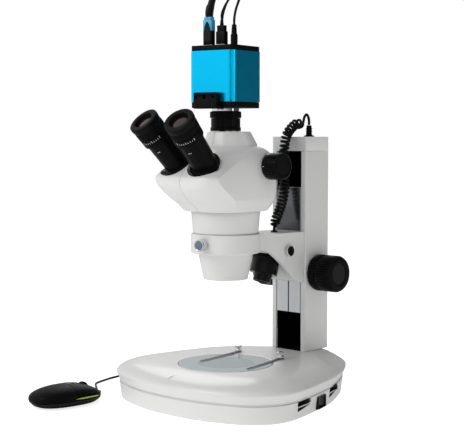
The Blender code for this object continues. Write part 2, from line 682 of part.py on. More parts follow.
# ---------------------------------------------------------------- leads
# Each route runs from its plug to the table, in a list chosen by hand
HDMI_ROUTE = (
    (-19.5, -10.8, 511), (-19.5, -10.8, 518), (-19, -6, 532), (-21, 4, 549), (-27, 20, 563),
    (-38, 38, 569), (-51, 52, 563), (-69.5, 53, 546), (-70.7, 48, 530), (-70.3, 45, 510), (-69, 44, 480),
    (-60, 47, 440), (-54, 46, 400), (-50, 47, 362), (-47, 60, 325), (-48, 89, 294), (-52, 134, 281),
    (-53, 174, 277), (-56, 199, 262), (-60, 210, 215), (-61, 213, 140), (-62, 214, 70),
    (-64, 216, 26), (-73, 221, 7), (-92, 224, 2), (-115, 223, 2), (-140, 217.5, 2))
MOUSE_ROUTE = (
    (0.7, -8, 506), (0.7, -8, 513), (3, -4, 524), (4, 7, 538), (-1, 19, 550), (-11, 30, 554),
    (-23, 38, 546), (-35.6, 38, 528), (-39.3, 36, 508), (-38, 39, 480), (-38, 42, 440),
    (-38, 44, 400), (-37, 50, 362), (-40, 66, 326), (-42, 90, 298), (-41.5, 128, 284),
    (-42, 165, 279), (-44, 194, 262), (-47, 209, 215), (-48, 213, 140), (-49, 213, 70),
    (-51, 210, 26), (-57, 203, 6), (-70, 195, -0.5), (-89, 174, -0.5), (-106, 146, -0.5),
    (-125, 112, -0.5), (-155, 88, -0.5), (-190, 76, -0.5), (-215, 55, -0.5), (-228, 28, -0.5),
    (-227, 2, -0.5), (-223, -16, -0.5), (-219, -30, -0.5), (-214, -42, -0.5), (-203, -52, -0.5),
    (-185, -66, -0.5), (-168, -80, -0.5), (-152, -94, 2), (-143.6, -101, 6.5))
POWER_ROUTE = (
    (19.9, -5.3, 497.4), (19.9, -5, 506), (20, -2, 518), (19, 6, 532), (14, 15, 544), (4.9, 25, 547),
    (-6.9, 34, 536), (-15.8, 36, 518), (-17.7, 36, 500), (-18, 37, 478), (-20, 40, 440), (-21, 41, 400),
    (-23, 48, 362), (-27, 65, 326), (-31, 90, 302), (-33.5, 128, 289), (-35, 162, 283),
    (-37, 192, 264), (-37, 207, 215), (-38, 212, 140), (-38, 213, 70), (-39, 217, 22),
    (-44, 229, 3), (-58, 240, -0.2), (-80, 245, -0.2), (-104, 243, -0.2))
LAMP_ROUTE = (
    (4, 170.9, 369), (4, 170, 377), (4, 163.9, 383.7), (4, 158.4, 373), (4, 153.5, 366),
    (4, 149.4, 369.6), (4, 144.5, 370.9), (4, 131.7, 364.8), (4, 122.4, 356.2), (4, 118.1, 345.8),
    (4, 116.2, 336), (4, 116.6, 315), (4, 117.5, 294), (4, 116.2, 278.4), (4, 112.6, 264.6),
    (3.5, 106.2, 250.9), (3, 98.7, 237.4), (2, 97, 222))
HDMI_COIL_CENTRE = (-165, 165)
HDMI_COIL_R = (48.6, 31.4)   # middle of the outer turn and of the inner turn
HDMI_FAR_PLUG = (19, 38, 10)
POWER_FAR_PLUG = (38, 16, 8)


def leads():
    for name, route, diameter, count in (
            ("hdmi_cable", HDMI_ROUTE, HDMI_D, 44), ("mouse_lead", MOUSE_ROUTE, USB_D, 64),
            ("camera_power_lead", POWER_ROUTE, DC_D, 48)):
        tube(name, evenly(curve_through(route, 10), count), diameter / 2, RUBBER)
    tube("lamp_lead", evenly(curve_through(LAMP_ROUTE, 10), 28), LAMP_LEAD_D / 2, RUBBER,
         LAMP_STRAIGHT, LAMP_CORD_SHARE)
    outer, inner = HDMI_COIL_R
    low, high = TABLE_Z, TABLE_Z + HDMI_D
    reach_out, reach_in = outer + HDMI_D / 2, inner - HDMI_D / 2
    turned("hdmi_coil", [(reach_in, high), (reach_out, high), (reach_out, low), (reach_in, low)],
           RUBBER, Matrix.Translation((*HDMI_COIL_CENTRE, 0)), 32, hollow=True)
    x, y = HDMI_COIL_CENTRE
    block("hdmi_far_plug", HDMI_FAR_PLUG, (x - 42, y + 2, high + GAP + HDMI_FAR_PLUG[2] / 2),
          BLACK, bevel=1.5)
    block("power_far_plug", POWER_FAR_PLUG, (-124.5, 242.8, low + POWER_FAR_PLUG[2] / 2),
          BLACK, bevel=1.2)


# ---------------------------------------------------------------- mouse
MOUSE_PLACE = (-150.0, -152.5)
MOUSE_TURN = math.radians(-8)
MOUSE_LENGTH, MOUSE_WIDTH = 102.0, 63.0
MOUSE_LEVELS = ((-1.7, 0.80), (2, 0.90), (7, 0.985), (11, 1.0), (15, 0.965), (18.5, 0.86),
                (21.5, 0.70), (24, 0.48), (25.3, 0.25))
NOSE_DROP = 0.25             # how much lower the form is at the nose, from NOSE_FROM_Y on
NOSE_FROM_Y = 13.0
BUTTON_FLOOR = 13.5
BUTTON_GAP = 1.3
MOUSE_WHEEL = (0.0, 27.0, 16.5)
MOUSE_WHEEL_R = 8.5


def mouse_frame():
    return Matrix.Translation((*MOUSE_PLACE, 0)) @ Matrix.Rotation(MOUSE_TURN, 4, "Z")


def mouse_form(name, material):
    """The mouse's whole outer form, a stack of soft rectangles."""
    rings = []
    for z, share in MOUSE_LEVELS:
        ring = []
        for i in range(32):
            a = 2 * math.pi * i / 32
            c, s = math.cos(a), math.sin(a)
            x = math.copysign(abs(c) ** 0.8, c) * MOUSE_WIDTH / 2 * share
            y = math.copysign(abs(s) ** 0.8, s) * MOUSE_LENGTH / 2 * share
            drop = NOSE_DROP * (max(0, y - NOSE_FROM_Y) / (MOUSE_LENGTH / 2 - NOSE_FROM_Y)) ** 2
            ring.append((x, y, z * (1 - drop) if z > 0 else z))
        rings.append(ring)
    form = loft(name, rings, material)
    form.matrix_world = metres(mouse_frame())
    return form


def mouse_box(name, size, centre):
    piece = block(name, size, (0, 0, 0), None)
    piece.matrix_world = metres(mouse_frame() @ Matrix.Translation(centre))
    return piece


def mouse():
    body = mouse_form("mouse_body", BLACK)
    floor = BUTTON_FLOOR - BUTTON_GAP
    cut(body, mouse_box("mouse_front", (80, 60, 30), (0, 30, floor + 15)),
        mouse_box("wheel_well", (9, 19, 30), (MOUSE_WHEEL[0], MOUSE_WHEEL[1], 22)))
    for side, sign in (("left", -1), ("right", 1)):
        button = mouse_form("mouse_button_" + side, BLACK)
        keep = mouse_box("button_keep_" + side, (36, 60, 30), (sign * (18 + 4.6), 30.5, BUTTON_FLOOR + 15))
        combine(button, keep, "INTERSECT")
    frame = mouse_frame() @ along_x(MOUSE_WHEEL[1], MOUSE_WHEEL[2])
    turned("mouse_wheel", [(0, 3.4), (MOUSE_WHEEL_R - 1, 3.4), (MOUSE_WHEEL_R, 2.2),
                           (MOUSE_WHEEL_R, -2.2), (MOUSE_WHEEL_R - 1, -3.4), (0, -3.4)],
           RUBBER, frame, 24)


# ---------------------------------------------------------------- build
def main():
    for old in list(bpy.data.objects):
        bpy.data.objects.remove(old)
    for group in (OUT, CUTTERS):
        bpy.context.scene.collection.children.link(group)
    for make in (base_cover, base_tray, base_controls, stage, feet, column, focus_drive,
                 carriage, head_shells, eyetubes, barrel, zoom_drive, camera, leads, mouse):
        make()
    bpy.context.view_layer.update()


main()
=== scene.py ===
"""Looks of the stereo microscope: camera, light, cords, detailed pieces and materials.

Shapes are given in millimetres in the frame that the CAD model uses, and become metres when a
mesh is made. Every piece sits at the origin with its place in its vertices.
"""
import math

import bmesh
import bpy
from mathutils import Matrix, Vector
from mathutils.geometry import tessellate_polygon


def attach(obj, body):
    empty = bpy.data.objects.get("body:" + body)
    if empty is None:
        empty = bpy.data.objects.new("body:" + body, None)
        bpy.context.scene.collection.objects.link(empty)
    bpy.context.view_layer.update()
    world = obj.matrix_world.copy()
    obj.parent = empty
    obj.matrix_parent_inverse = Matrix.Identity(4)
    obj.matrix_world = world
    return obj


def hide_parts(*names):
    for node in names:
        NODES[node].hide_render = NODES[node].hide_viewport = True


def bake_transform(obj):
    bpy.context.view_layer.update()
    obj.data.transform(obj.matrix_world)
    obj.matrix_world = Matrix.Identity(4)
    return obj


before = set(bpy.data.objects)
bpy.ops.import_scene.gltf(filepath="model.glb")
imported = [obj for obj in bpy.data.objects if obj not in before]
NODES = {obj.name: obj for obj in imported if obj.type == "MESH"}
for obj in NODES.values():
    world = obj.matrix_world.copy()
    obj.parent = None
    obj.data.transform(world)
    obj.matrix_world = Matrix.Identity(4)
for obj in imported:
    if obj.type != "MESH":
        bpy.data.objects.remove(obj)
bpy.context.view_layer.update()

MM = 0.001
GAP = 0.3
FLOOR_Z = -0.002
SMOOTH_ANGLE = math.radians(32)

# Camera, in metres and degrees
CAMERA_PLACE = (1.064, -1.1585, 0.358)
CAMERA_AZIMUTH = 42.26
CAMERA_PITCH = 4.07
CAMERA_LENS = 92.33

# Studio
DARK_SIDE = (0.67, 0.73, 0.0)                      # the room is dim in this direction
BRIGHT_SIDE_SHARE, DARK_SIDE_SHARE = 1.7, 0.12     # how bright the room is on either side
MIRRORED_SHARE = 0.7                               # the room's brightness in reflections
FLOOR_GLOW, FLOOR_GLOW_MIRRORED = 1.3, 0.2
FLOOR_HALF = 6.0


# ---------------------------------------------------------------- camera, light and floor
def camera():
    data = bpy.data.cameras.new("camera")
    data.lens = CAMERA_LENS
    data.sensor_width = 36
    data.clip_end = 20
    view = bpy.data.objects.new("camera", data)
    view.location = CAMERA_PLACE
    view.rotation_euler = (math.radians(90 - CAMERA_PITCH), 0, math.radians(CAMERA_AZIMUTH))
    bpy.context.scene.collection.objects.link(view)
    bpy.context.scene.camera = view


def area_light(name, place, target, size, power):
    data = bpy.data.lights.new(name, "AREA")
    data.shape = "RECTANGLE"
    data.size, data.size_y = size
    data.energy = power
    lamp = bpy.data.objects.new(name, data)
    lamp.location = place
    lamp.rotation_euler = (Vector(place) - Vector(target)).to_track_quat("Z", "Y").to_euler()
    bpy.context.scene.collection.objects.link(lamp)


def added(tree, kind, values=None, operation=None):
    """A new node with its input values set by name or number."""
    node = tree.nodes.new(kind)
    if operation:
        node.operation = operation
    for key, value in (values or {}).items():
        node.inputs[key].default_value = value
    return node


def studio_room():
    """White to the camera; to everything else a grey room, brighter overhead and dim on one side.
    Reflections see it without the brighter overhead, so that upright faces still mirror light."""
    world = bpy.data.worlds.new("studio")
    world.use_nodes = True
    tree = world.node_tree
    tree.nodes.clear()
    link = tree.links.new
    place = added(tree, "ShaderNodeTexCoord")
    split = added(tree, "ShaderNodeSeparateXYZ")
    overhead = added(tree, "ShaderNodeMapRange", {"From Min": -0.1, "From Max": 1.0,
                                                  "To Min": 0.2, "To Max": 0.8})
    across = added(tree, "ShaderNodeVectorMath", {1: DARK_SIDE}, "DOT_PRODUCT")
    sideways = added(tree, "ShaderNodeMapRange", {"From Min": -0.8, "From Max": 0.8,
                                                  "To Min": BRIGHT_SIDE_SHARE,
                                                  "To Max": DARK_SIDE_SHARE})
    lighting = added(tree, "ShaderNodeMath", None, "MULTIPLY")
    mirrored = added(tree, "ShaderNodeMath", {1: MIRRORED_SHARE}, "MULTIPLY")
    rays = added(tree, "ShaderNodeLightPath")
    strength = added(tree, "ShaderNodeMix")
    room = added(tree, "ShaderNodeBackground")
    seen = added(tree, "ShaderNodeBackground", {"Color": (1, 1, 1, 1)})
    choice = added(tree, "ShaderNodeMixShader")
    output = added(tree, "ShaderNodeOutputWorld")
    link(place.outputs["Generated"], split.inputs[0])
    link(place.outputs["Generated"], across.inputs[0])
    link(across.outputs["Value"], sideways.inputs["Value"])
    link(split.outputs["Z"], overhead.inputs["Value"])
    link(overhead.outputs[0], lighting.inputs[0])
    link(sideways.outputs[0], lighting.inputs[1])
    link(sideways.outputs[0], mirrored.inputs[0])
    link(rays.outputs["Is Glossy Ray"], strength.inputs["Factor"])
    link(lighting.outputs[0], strength.inputs["A"])
    link(mirrored.outputs[0], strength.inputs["B"])
    link(strength.outputs["Result"], room.inputs["Strength"])
    link(rays.outputs["Is Camera Ray"], choice.inputs[0])
    link(room.outputs[0], choice.inputs[1])
    link(seen.outputs[0], choice.inputs[2])
    link(choice.outputs[0], output.inputs[0])
    bpy.context.scene.world = world


def studio_floor():
    """A plain pale floor that glows a little, and less so in reflections."""
    reach = FLOOR_HALF
    mesh = bpy.data.meshes.new("floor")
    mesh.from_pydata([(-reach, -reach, FLOOR_Z), (reach, -reach, FLOOR_Z), (reach, reach, FLOOR_Z),
                      (-reach, reach, FLOOR_Z)], [], [(0, 1, 2, 3)])
    floor = bpy.data.objects.new("floor", mesh)
    bpy.context.scene.collection.objects.link(floor)
    paper = surface("floor", (0.6, 0.6, 0.6), 0.8, tone=0.01, bump=0, glow=FLOOR_GLOW)
    tree = paper.node_tree
    rays = added(tree, "ShaderNodeLightPath")
    glow = added(tree, "ShaderNodeMapRange", {"To Min": FLOOR_GLOW, "To Max": FLOOR_GLOW_MIRRORED})
    tree.links.new(rays.outputs["Is Glossy Ray"], glow.inputs["Value"])
    tree.links.new(glow.outputs[0], tree.nodes["Principled BSDF"].inputs["Emission Strength"])
    mesh.materials.append(paper)


def studio():
    bpy.context.scene.view_settings.view_transform = "Standard"
    studio_room()
    area_light("key", (-0.5, -1.5, 1.5), (0, 0, 0.2), (1.1, 1.1), 15)
    area_light("side", (1.7, 0.5, 1.0), (0, 0, 0.25), (0.4, 1.3), 4)
    area_light("back", (-1.2, 1.2, 1.2), (0, 0, 0.25), (0.8, 1.2), 6)
    studio_floor()


# ---------------------------------------------------------------- materials
def surface(name, colour, rough, metal=0.0, tone=0.06, grain=60.0, bump=0.05,
            bump_scale=2500.0, coat=0.0, stretch=(1, 1, 1), rough_spread=0.06, glow=0.0,
            specular=0.5):
    """A finish whose tone, roughness and relief vary with noise over the object."""
    material = bpy.data.materials.new(name)
    material.use_nodes = True
    tree = material.node_tree
    link = tree.links.new
    shader = tree.nodes["Principled BSDF"]
    fixed = {"Metallic": metal, "Coat Weight": coat, "Specular IOR Level": specular,
             "Coat Roughness": 0.08}
    if glow:
        fixed.update({"Emission Color": (*colour, 1), "Emission Strength": glow})
    for key, value in fixed.items():
        shader.inputs[key].default_value = value
    place = added(tree, "ShaderNodeTexCoord")
    mapping = added(tree, "ShaderNodeMapping", {"Scale": stretch})
    broad = added(tree, "ShaderNodeTexNoise", {"Scale": grain, "Detail": 4})
    mix = tree.nodes.new("ShaderNodeMix")
    mix.data_type = "RGBA"
    mix.inputs["A"].default_value = (*(c * (1 - tone) for c in colour), 1)
    mix.inputs["B"].default_value = (*(min(1, c * (1 + tone)) for c in colour), 1)
    spread = added(tree, "ShaderNodeMapRange", {"To Min": max(0.02, rough - rough_spread),
                                                "To Max": min(1.0, rough + rough_spread)})
    link(place.outputs["Object"], mapping.inputs["Vector"])
    link(mapping.outputs[0], broad.inputs["Vector"])
    link(broad.outputs["Fac"], mix.inputs["Factor"])
    link(mix.outputs["Result"], shader.inputs["Base Color"])
    link(broad.outputs["Fac"], spread.inputs["Value"])
    link(spread.outputs[0], shader.inputs["Roughness"])
    if bump:
        fine = added(tree, "ShaderNodeTexNoise", {"Scale": bump_scale, "Detail": 2})
        relief_map = added(tree, "ShaderNodeBump", {"Strength": bump, "Distance": 0.0004})
        link(mapping.outputs[0], fine.inputs["Vector"])
        link(fine.outputs["Fac"], relief_map.inputs["Height"])
        link(relief_map.outputs[0], shader.inputs["Normal"])
    return material


WHITE = surface("white_enamel", (0.70, 0.70, 0.692), 0.36, tone=0.015, bump=0.03,
                coat=0.2)
BLACK = surface("black_satin", (0.004, 0.004, 0.0045), 0.3, tone=0.2, specular=0.07)
GLOSS = surface("black_gloss", (0.003, 0.003, 0.0035), 0.17, tone=0.2, bump=0.01,
                specular=0.2)
MATT = surface("black_matt", (0.003, 0.003, 0.0035), 0.4, tone=0.2, bump=0.1,
               specular=0.05)
# Painted shade: a near-black, light-swallowing finish laid in slots, wells, grooves and the hollow
# column where only shade is seen.
PAINTED_SHADE = surface("painted_shade", (0.003, 0.003, 0.003), 0.9, tone=0.2, specular=0.02)
RUBBER = surface("soft_rubber", (0.0045, 0.0045, 0.005), 0.42, tone=0.15, bump=0.12,
                 bump_scale=1600, specular=0.07)
JACKET = surface("cable_jacket_pvc", (0.005, 0.005, 0.0055), 0.34, tone=0.15,
                 bump=0.06, specular=0.12)
CYAN = surface("cyan_anodised", (0.0, 0.56, 0.95), 0.22, metal=0.9, tone=0.05,
               stretch=(1, 1, 14), bump=0.1)
CHROME = surface("bright_chrome", (0.72, 0.72, 0.73), 0.13, metal=1, tone=0.03, bump=0.02)
ALUMINIUM = surface("brushed_rail", (0.62, 0.63, 0.65), 0.34, metal=0.7,
                    tone=0.05, grain=260, stretch=(1, 1, 0.03), bump=0.12, bump_scale=2200)
# Painted shade and painted reflection: the aluminium rail above the arm, in the head's shade and
# mirroring its dark underside, drawn as darker metal.
SHADED_RAIL = surface("rail_painted_shade", (0.13, 0.135, 0.14), 0.22, metal=0.9,
                    tone=0.2, grain=30, stretch=(1, 1, 0.3), bump=0.03)
STEEL = surface("plain_steel", (0.42, 0.42, 0.43), 0.28, metal=1, tone=0.08,
                stretch=(0.1, 1, 1), bump=0.05)
SPRING = surface("spring_steel", (0.09, 0.095, 0.10), 0.25, metal=0.9, tone=0.1)
GLASS = surface("stage_glass_face", (0.49, 0.57, 0.59), 0.07, tone=0.04, grain=20,
                bump=0, coat=0.6, rough_spread=0.03)
# Painted shade: a darker copy of the stage glass for its middle, under the head.
GLASS_SHADED = surface("stage_glass_painted_shade", (0.37, 0.44, 0.46), 0.1, tone=0.06,
                      grain=20, bump=0, coat=0.6, rough_spread=0.03)
FROST = surface("frosted_disc", (0.50, 0.57, 0.60), 0.5, tone=0.03)
LENS = surface("coated_lens", (0.02, 0.006, 0.006), 0.04, tone=0.5, grain=90, bump=0,
               rough_spread=0.02, specular=0.6)
CLEAR_LENS = surface("lamp_lens", (0.05, 0.052, 0.055), 0.06, tone=0.2, bump=0,
                     rough_spread=0.03)
MARK = surface("white_mark", (0.7, 0.7, 0.7), 0.5, tone=0.02, bump=0)
SKY = surface("light_blue_shell", (0.04, 0.36, 0.58), 0.35, tone=0.05)
LIME = surface("lime_strip", (0.27, 0.38, 0.02), 0.35, tone=0.1)
SLATE = surface("slate_face", (0.16, 0.21, 0.27), 0.3, metal=0.6, tone=0.08)


# ---------------------------------------------------------------- mesh helpers
def dress(obj, material, body, replaces=(), smooth=True):
    """Gives the object its finish, its body and the CAD nodes it stands for."""
    if obj.name not in bpy.context.scene.collection.objects:
        bpy.context.scene.collection.objects.link(obj)
    obj.data.materials.clear()
    obj.data.materials.append(material)
    if smooth:
        shade(obj.data)
    if body:
        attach(obj, body)
    if replaces:
        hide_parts(*replaces)
    return obj


def shade(mesh):
    mesh.polygons.foreach_set("use_smooth", [True] * len(mesh.polygons))
    mesh.set_sharp_from_angle(angle=SMOOTH_ANGLE)


def solid(name, verts, faces, matrix=None):
    """A mesh object from points in millimetres, welded and facing outwards."""
    mesh = bpy.data.meshes.new(name)
    matrix = matrix or Matrix.Identity(4)
    mesh.from_pydata([(matrix @ Vector(v)) * MM for v in verts], [], faces)
    bm = bmesh.new()
    bm.from_mesh(mesh)
    bmesh.ops.remove_doubles(bm, verts=bm.verts, dist=0.000004)
    bmesh.ops.recalc_face_normals(bm, faces=bm.faces)
    bm.to_mesh(mesh)
    bm.free()
    obj = bpy.data.objects.new(name, mesh)
    bpy.context.scene.collection.objects.link(obj)
    return obj


def lathe(name, profile, material, body, matrix=None, steps=96, ribs=0, depth=0.0, loop=False,
          replaces=()):
    """A (radius, height) profile turned round local Z. A point's third value is how far it takes
    part in the ribs, which are cut in to depth."""
    steps = ribs * 6 if ribs else steps
    count = len(profile)
    verts = []
    for i in range(steps):
        angle = 2 * math.pi * i / steps
        dip = depth if ribs and i % 6 in (0, 1) else 0.0
        for point in profile:
            r = point[0] - (dip * point[2] if len(point) > 2 else 0.0)
            verts.append((r * math.cos(angle), r * math.sin(angle), point[1]))
    spans = count if loop else count - 1
    faces = []
    for i in range(steps):
        here, there = i * count, (i + 1) % steps * count
        for k in range(spans):
            n = (k + 1) % count
            faces.append((here + k, there + k, there + n, here + n))
    obj = solid(name, verts, faces, matrix)
    return dress(obj, material, body, replaces) if material else obj


def bevelled(obj, width, segments=3):
    if width:
        step = obj.modifiers.new("edges", "BEVEL")
        step.width = width * MM
        step.segments = segments
        step.limit_method = "ANGLE"
        step.angle_limit = math.radians(35)
        baked(obj)
    return obj


def baked(obj):
    """Makes the object's modifiers part of its mesh."""
    bpy.context.view_layer.update()
    shape = obj.evaluated_get(bpy.context.evaluated_depsgraph_get())
    mesh = bpy.data.meshes.new_from_object(shape)
    obj.modifiers.clear()
    obj.data = mesh
    return obj


def prism(name, outlines, low, high, material, body, matrix=None, bevel=0.0, replaces=()):
    """Flat outlines in local XY, the inner ones holes, pulled from low to high along local Z."""
    flat = [p for outline in outlines for p in outline]
    total = len(flat)
    verts = [(p[0], p[1], low) for p in flat] + [(p[0], p[1], high) for p in flat]
    faces = []
    for tri in tessellate_polygon([[Vector((p[0], p[1], 0)) for p in o] for o in outlines]):
        faces.append(tuple(tri))
        faces.append(tuple(total + k for k in reversed(tri)))
    first = 0
    for outline in outlines:
        count = len(outline)
        for k in range(count):
            n = (k + 1) % count
            faces.append((first + k, first + n, total + first + n, total + first + k))
        first += count
    obj = bevelled(solid(name, verts, faces, matrix), bevel)
    return dress(obj, material, body, replaces) if material else obj


def box(name, size, centre, material, body, bevel=0.0, matrix=None, replaces=()):
    half_x, half_y, half_z = (s / 2 for s in size)
    place = (matrix or Matrix.Identity(4)) @ Matrix.Translation(centre)
    outline = [(-half_x, -half_y), (half_x, -half_y), (half_x, half_y), (-half_x, half_y)]
    return prism(name, [outline], -half_z, half_z, material, body, place, bevel, replaces)


def carve(obj, cutters, operation="DIFFERENCE"):
    """Cuts the other objects out of obj, or joins them to it, and removes them."""
    for cutter in cutters:
        step = obj.modifiers.new("cut", "BOOLEAN")
        step.operation = operation
        step.object = cutter
        step.solver = "EXACT"
    baked(obj)
    for cutter in cutters:
        bpy.data.objects.remove(cutter)
    return obj


def loft(name, rings, closed=True, caps=(False, False), creases=(), level=0, matrix=None):
    """A surface through rings of equal point counts, subdivided to level; creases holds
    (ring or None, column or None, first, last, sharpness) for edges that stay crisp."""
    count = len(rings[0])
    last = count if closed else count - 1
    verts = [p for ring in rings for p in ring]
    faces = [(r * count + i, r * count + (i + 1) % count, (r + 1) * count + (i + 1) % count,
              (r + 1) * count + i) for r in range(len(rings) - 1) for i in range(last)]
    if caps[0]:
        faces.append(tuple(reversed(range(count))))
    if caps[1]:
        faces.append(tuple(range((len(rings) - 1) * count, len(rings) * count)))
    matrix = matrix or Matrix.Identity(4)
    mesh = bpy.data.meshes.new(name)
    mesh.from_pydata([(matrix @ Vector(v)) * MM for v in verts], [], faces)
    bm = bmesh.new()
    bm.from_mesh(mesh)
    bmesh.ops.recalc_face_normals(bm, faces=bm.faces)
    layer = bm.edges.layers.float.new("crease_edge")
    bm.verts.ensure_lookup_table()
    for ring, column, first, final, sharpness in creases:
        for k in range(first, final):
            if ring is not None:
                ends = (ring * count + k % count, ring * count + (k + 1) % count)
            else:
                ends = (k * count + column, (k + 1) * count + column)
            edge = bm.edges.get([bm.verts[e] for e in ends])
            if edge:
                edge[layer] = sharpness
    bm.to_mesh(mesh)
    bm.free()
    obj = bpy.data.objects.new(name, mesh)
    bpy.context.scene.collection.objects.link(obj)
    if level:
        step = obj.modifiers.new("smooth", "SUBSURF")
        step.levels = step.render_levels = level
        baked(obj)
    return obj


def walled(obj, thickness):
    step = obj.modifiers.new("wall", "SOLIDIFY")
    step.thickness = thickness * MM
    step.offset = -1
    step.use_even_offset = True
    return baked(obj)


def rounded(half_x, half_y, radius, centre=(0, 0), corner=6):
    points = []
    for k, (sx, sy) in enumerate(((1, 1), (-1, 1), (-1, -1), (1, -1))):
        for i in range(corner + 1):
            a = math.pi / 2 * (k + i / corner)
            points.append((centre[0] + sx * (half_x - radius) + radius * math.cos(a),
                           centre[1] + sy * (half_y - radius) + radius * math.sin(a)))
    return points


def ring_of(radius, centre=(0, 0), count=32):
    return [(centre[0] + radius * math.cos(2 * math.pi * i / count),
             centre[1] + radius * math.sin(2 * math.pi * i / count)) for i in range(count)]


def curve_through(points, per_span, closed=False):
    """A smooth Catmull-Rom curve through the points."""
    points = [Vector(p) for p in points]
    count = len(points)
    made = []
    for i in range(count if closed else count - 1):
        if closed:
            a, b, c, d = (points[(i + k) % count] for k in (-1, 0, 1, 2))
        else:
            b, c = points[i], points[i + 1]
            a = points[i - 1] if i else b * 2 - c
            d = points[i + 2] if i + 2 < count else c * 2 - b
        for k in range(per_span):
            t = k / per_span
            made.append(0.5 * (2 * b + (c - a) * t + (2 * a - 5 * b + 4 * c - d) * t * t
                               + (3 * b - a - 3 * c + d) * t ** 3))
    return made if closed else made + [points[-1]]


def evenly(points, count, closed=False):
    """The same line with count points at equal distances along it."""
    line = list(points) + ([points[0]] if closed else [])
    along = [0.0]
    for p, q in zip(line, line[1:]):
        along.append(along[-1] + (q - p).length)
    made, k = [], 0
    for i in range(count):
        target = along[-1] * i / (count if closed else count - 1)
        while k < len(line) - 2 and along[k + 1] < target:
            k += 1
        share = (target - along[k]) / max(along[k + 1] - along[k], 1e-9)
        made.append(line[k].lerp(line[k + 1], min(1, share)))
    return made


def length_of(points):
    return sum((q - p).length for p, q in zip(points, points[1:]))


def hose(name, points, radius, sides=14):
    """A round tube of the given radius along the points, with closed ends."""
    verts, faces = [], []
    normal = None
    count = len(points)
    for i, p in enumerate(points):
        along = (points[min(i + 1, count - 1)] - points[max(i - 1, 0)]).normalized()
        if normal is None:
            normal = along.orthogonal().normalized()
        normal = (normal - along * normal.dot(along)).normalized()
        side = along.cross(normal)
        for k in range(sides):
            a = 2 * math.pi * k / sides
            verts.append(p + (normal * math.cos(a) + side * math.sin(a)) * radius)
    for i in range(count - 1):
        for k in range(sides):
            n = (k + 1) % sides
            faces.append((i * sides + k, i * sides + n, (i + 1) * sides + n, (i + 1) * sides + k))
    faces.append(tuple(reversed(range(sides))))
    faces.append(tuple(range((count - 1) * sides, count * sides)))
    return solid(name, verts, faces)


def at(x=0.0, y=0.0, z=0.0):
    return Matrix.Translation((x, y, z))


def along_x(y, z, x=0.0):
    """A frame whose local Z is the object's +X."""
    return at(x, y, z) @ Matrix.Rotation(math.pi / 2, 4, "Y")


def facing(place, direction):
    """A frame at place whose local Z points in direction."""
    return at(*place) @ Vector(direction).to_track_quat("Z", "Y").to_matrix().to_4x4()


# ---------------------------------------------------------------- cords
HDMI_D, USB_D, DC_D = 8.0, 3.0, 3.2
LAMP_CORD_D, LAMP_COIL_R = 3.8, 5.5
HDMI_ROUTE = (
    (-19.5, -10.8, 510), (-19.5, -10.8, 518), (-19, -6, 532), (-21, 4, 549), (-27, 20, 563),
    (-38, 38, 569), (-51, 52, 563), (-69.5, 53, 546), (-70.7, 48, 530), (-70.3, 45, 510),
    (-69, 44, 480),
    (-60, 47, 440), (-54, 46, 400), (-50, 47, 362), (-47, 60, 325), (-48, 89, 294), (-52, 134, 281),
    (-53, 174, 277), (-56, 199, 262), (-60, 210, 215), (-61, 213, 140), (-62, 214, 70),
    (-64, 216, 26), (-73, 221, 7), (-92, 224, 2), (-115, 223, 2), (-140, 217.5, 2))
HDMI_END = ((-181, 191.5, 11.2), (-193, 198, 12.8), (-203, 197.5, 12.8), (-207, 191.5, 11.6),
            (-207, 186.4, 11.3))
MOUSE_ROUTE = (
    (0.7, -8, 506), (0.7, -8, 513), (3, -4, 524), (4, 7, 538), (-1, 19, 550), (-11, 30, 554),
    (-23, 38, 546), (-35.6, 38, 528), (-39.3, 36, 508), (-38, 39, 480), (-38, 42, 440),
    (-38, 44, 400), (-37, 50, 362), (-40, 66, 326), (-42, 90, 298), (-41.5, 128, 284),
    (-42, 165, 279), (-44, 194, 262), (-47, 209, 215), (-48, 213, 140), (-49, 213, 70),
    (-51, 210, 26), (-57, 203, 6), (-70, 195, -0.5), (-89, 174, -0.5), (-106, 146, -0.5),
    (-125, 112, -0.5), (-155, 88, -0.5), (-190, 76, -0.5), (-215, 55, -0.5), (-228, 28, -0.5),
    (-227, 2, -0.5), (-223, -16, -0.5), (-219, -30, -0.5), (-214, -42, -0.5), (-203, -52, -0.5),
    (-185, -66, -0.5), (-168, -80, -0.5), (-152, -94, 2), (-143.6, -101, 6.5))
POWER_ROUTE = (
    (19.9, -5.3, 497.4), (19.9, -5, 506), (20, -2, 518), (19, 6, 532), (14, 15, 544), (4.9, 25, 547),
    (-6.9, 34, 536), (-15.8, 36, 518), (-17.7, 36, 500), (-18, 37, 478), (-20, 40, 440), (-21, 41, 400),
    (-23, 48, 362), (-27, 65, 326), (-31, 90, 302), (-33.5, 128, 289), (-35, 162, 283),
    (-37, 192, 264), (-37, 207, 215), (-38, 212, 140), (-38, 213, 70), (-39, 217, 22),
    (-44, 229, 3), (-58, 240, -0.4), (-80, 245, 0.6), (-105.2, 242.8, 2))
LAMP_START = ((4, 170.9, 369), (4, 170.6, 376), (4, 168, 382), (4, 163.9, 383.7), (4, 160, 379.5),
              (4, 157.6, 372), (4, 155, 367.2))
LAMP_COILED = ((4, 155, 367.2), (4, 151, 368.3), (4, 147, 370.7), (4, 142, 370.6), (4, 131.7, 364.8),
               (4, 122.4, 356.2), (4, 118.1, 345.8), (4, 116.2, 336), (4, 116.6, 315),
               (4, 117.5, 294), (4, 116.2, 278.4), (4, 112.6, 264.6), (3.5, 106.2, 250.9),
               (3, 99.5, 238), (2, 97.4, 227.5))
LAMP_END = ((2, 97.1, 225), (2, 97, 222))
COIL_CENTRE = (-165, 165)
FAR_HDMI = (-207, 167, 11.3)
FAR_POWER = (-124.5, 242.8, 2)


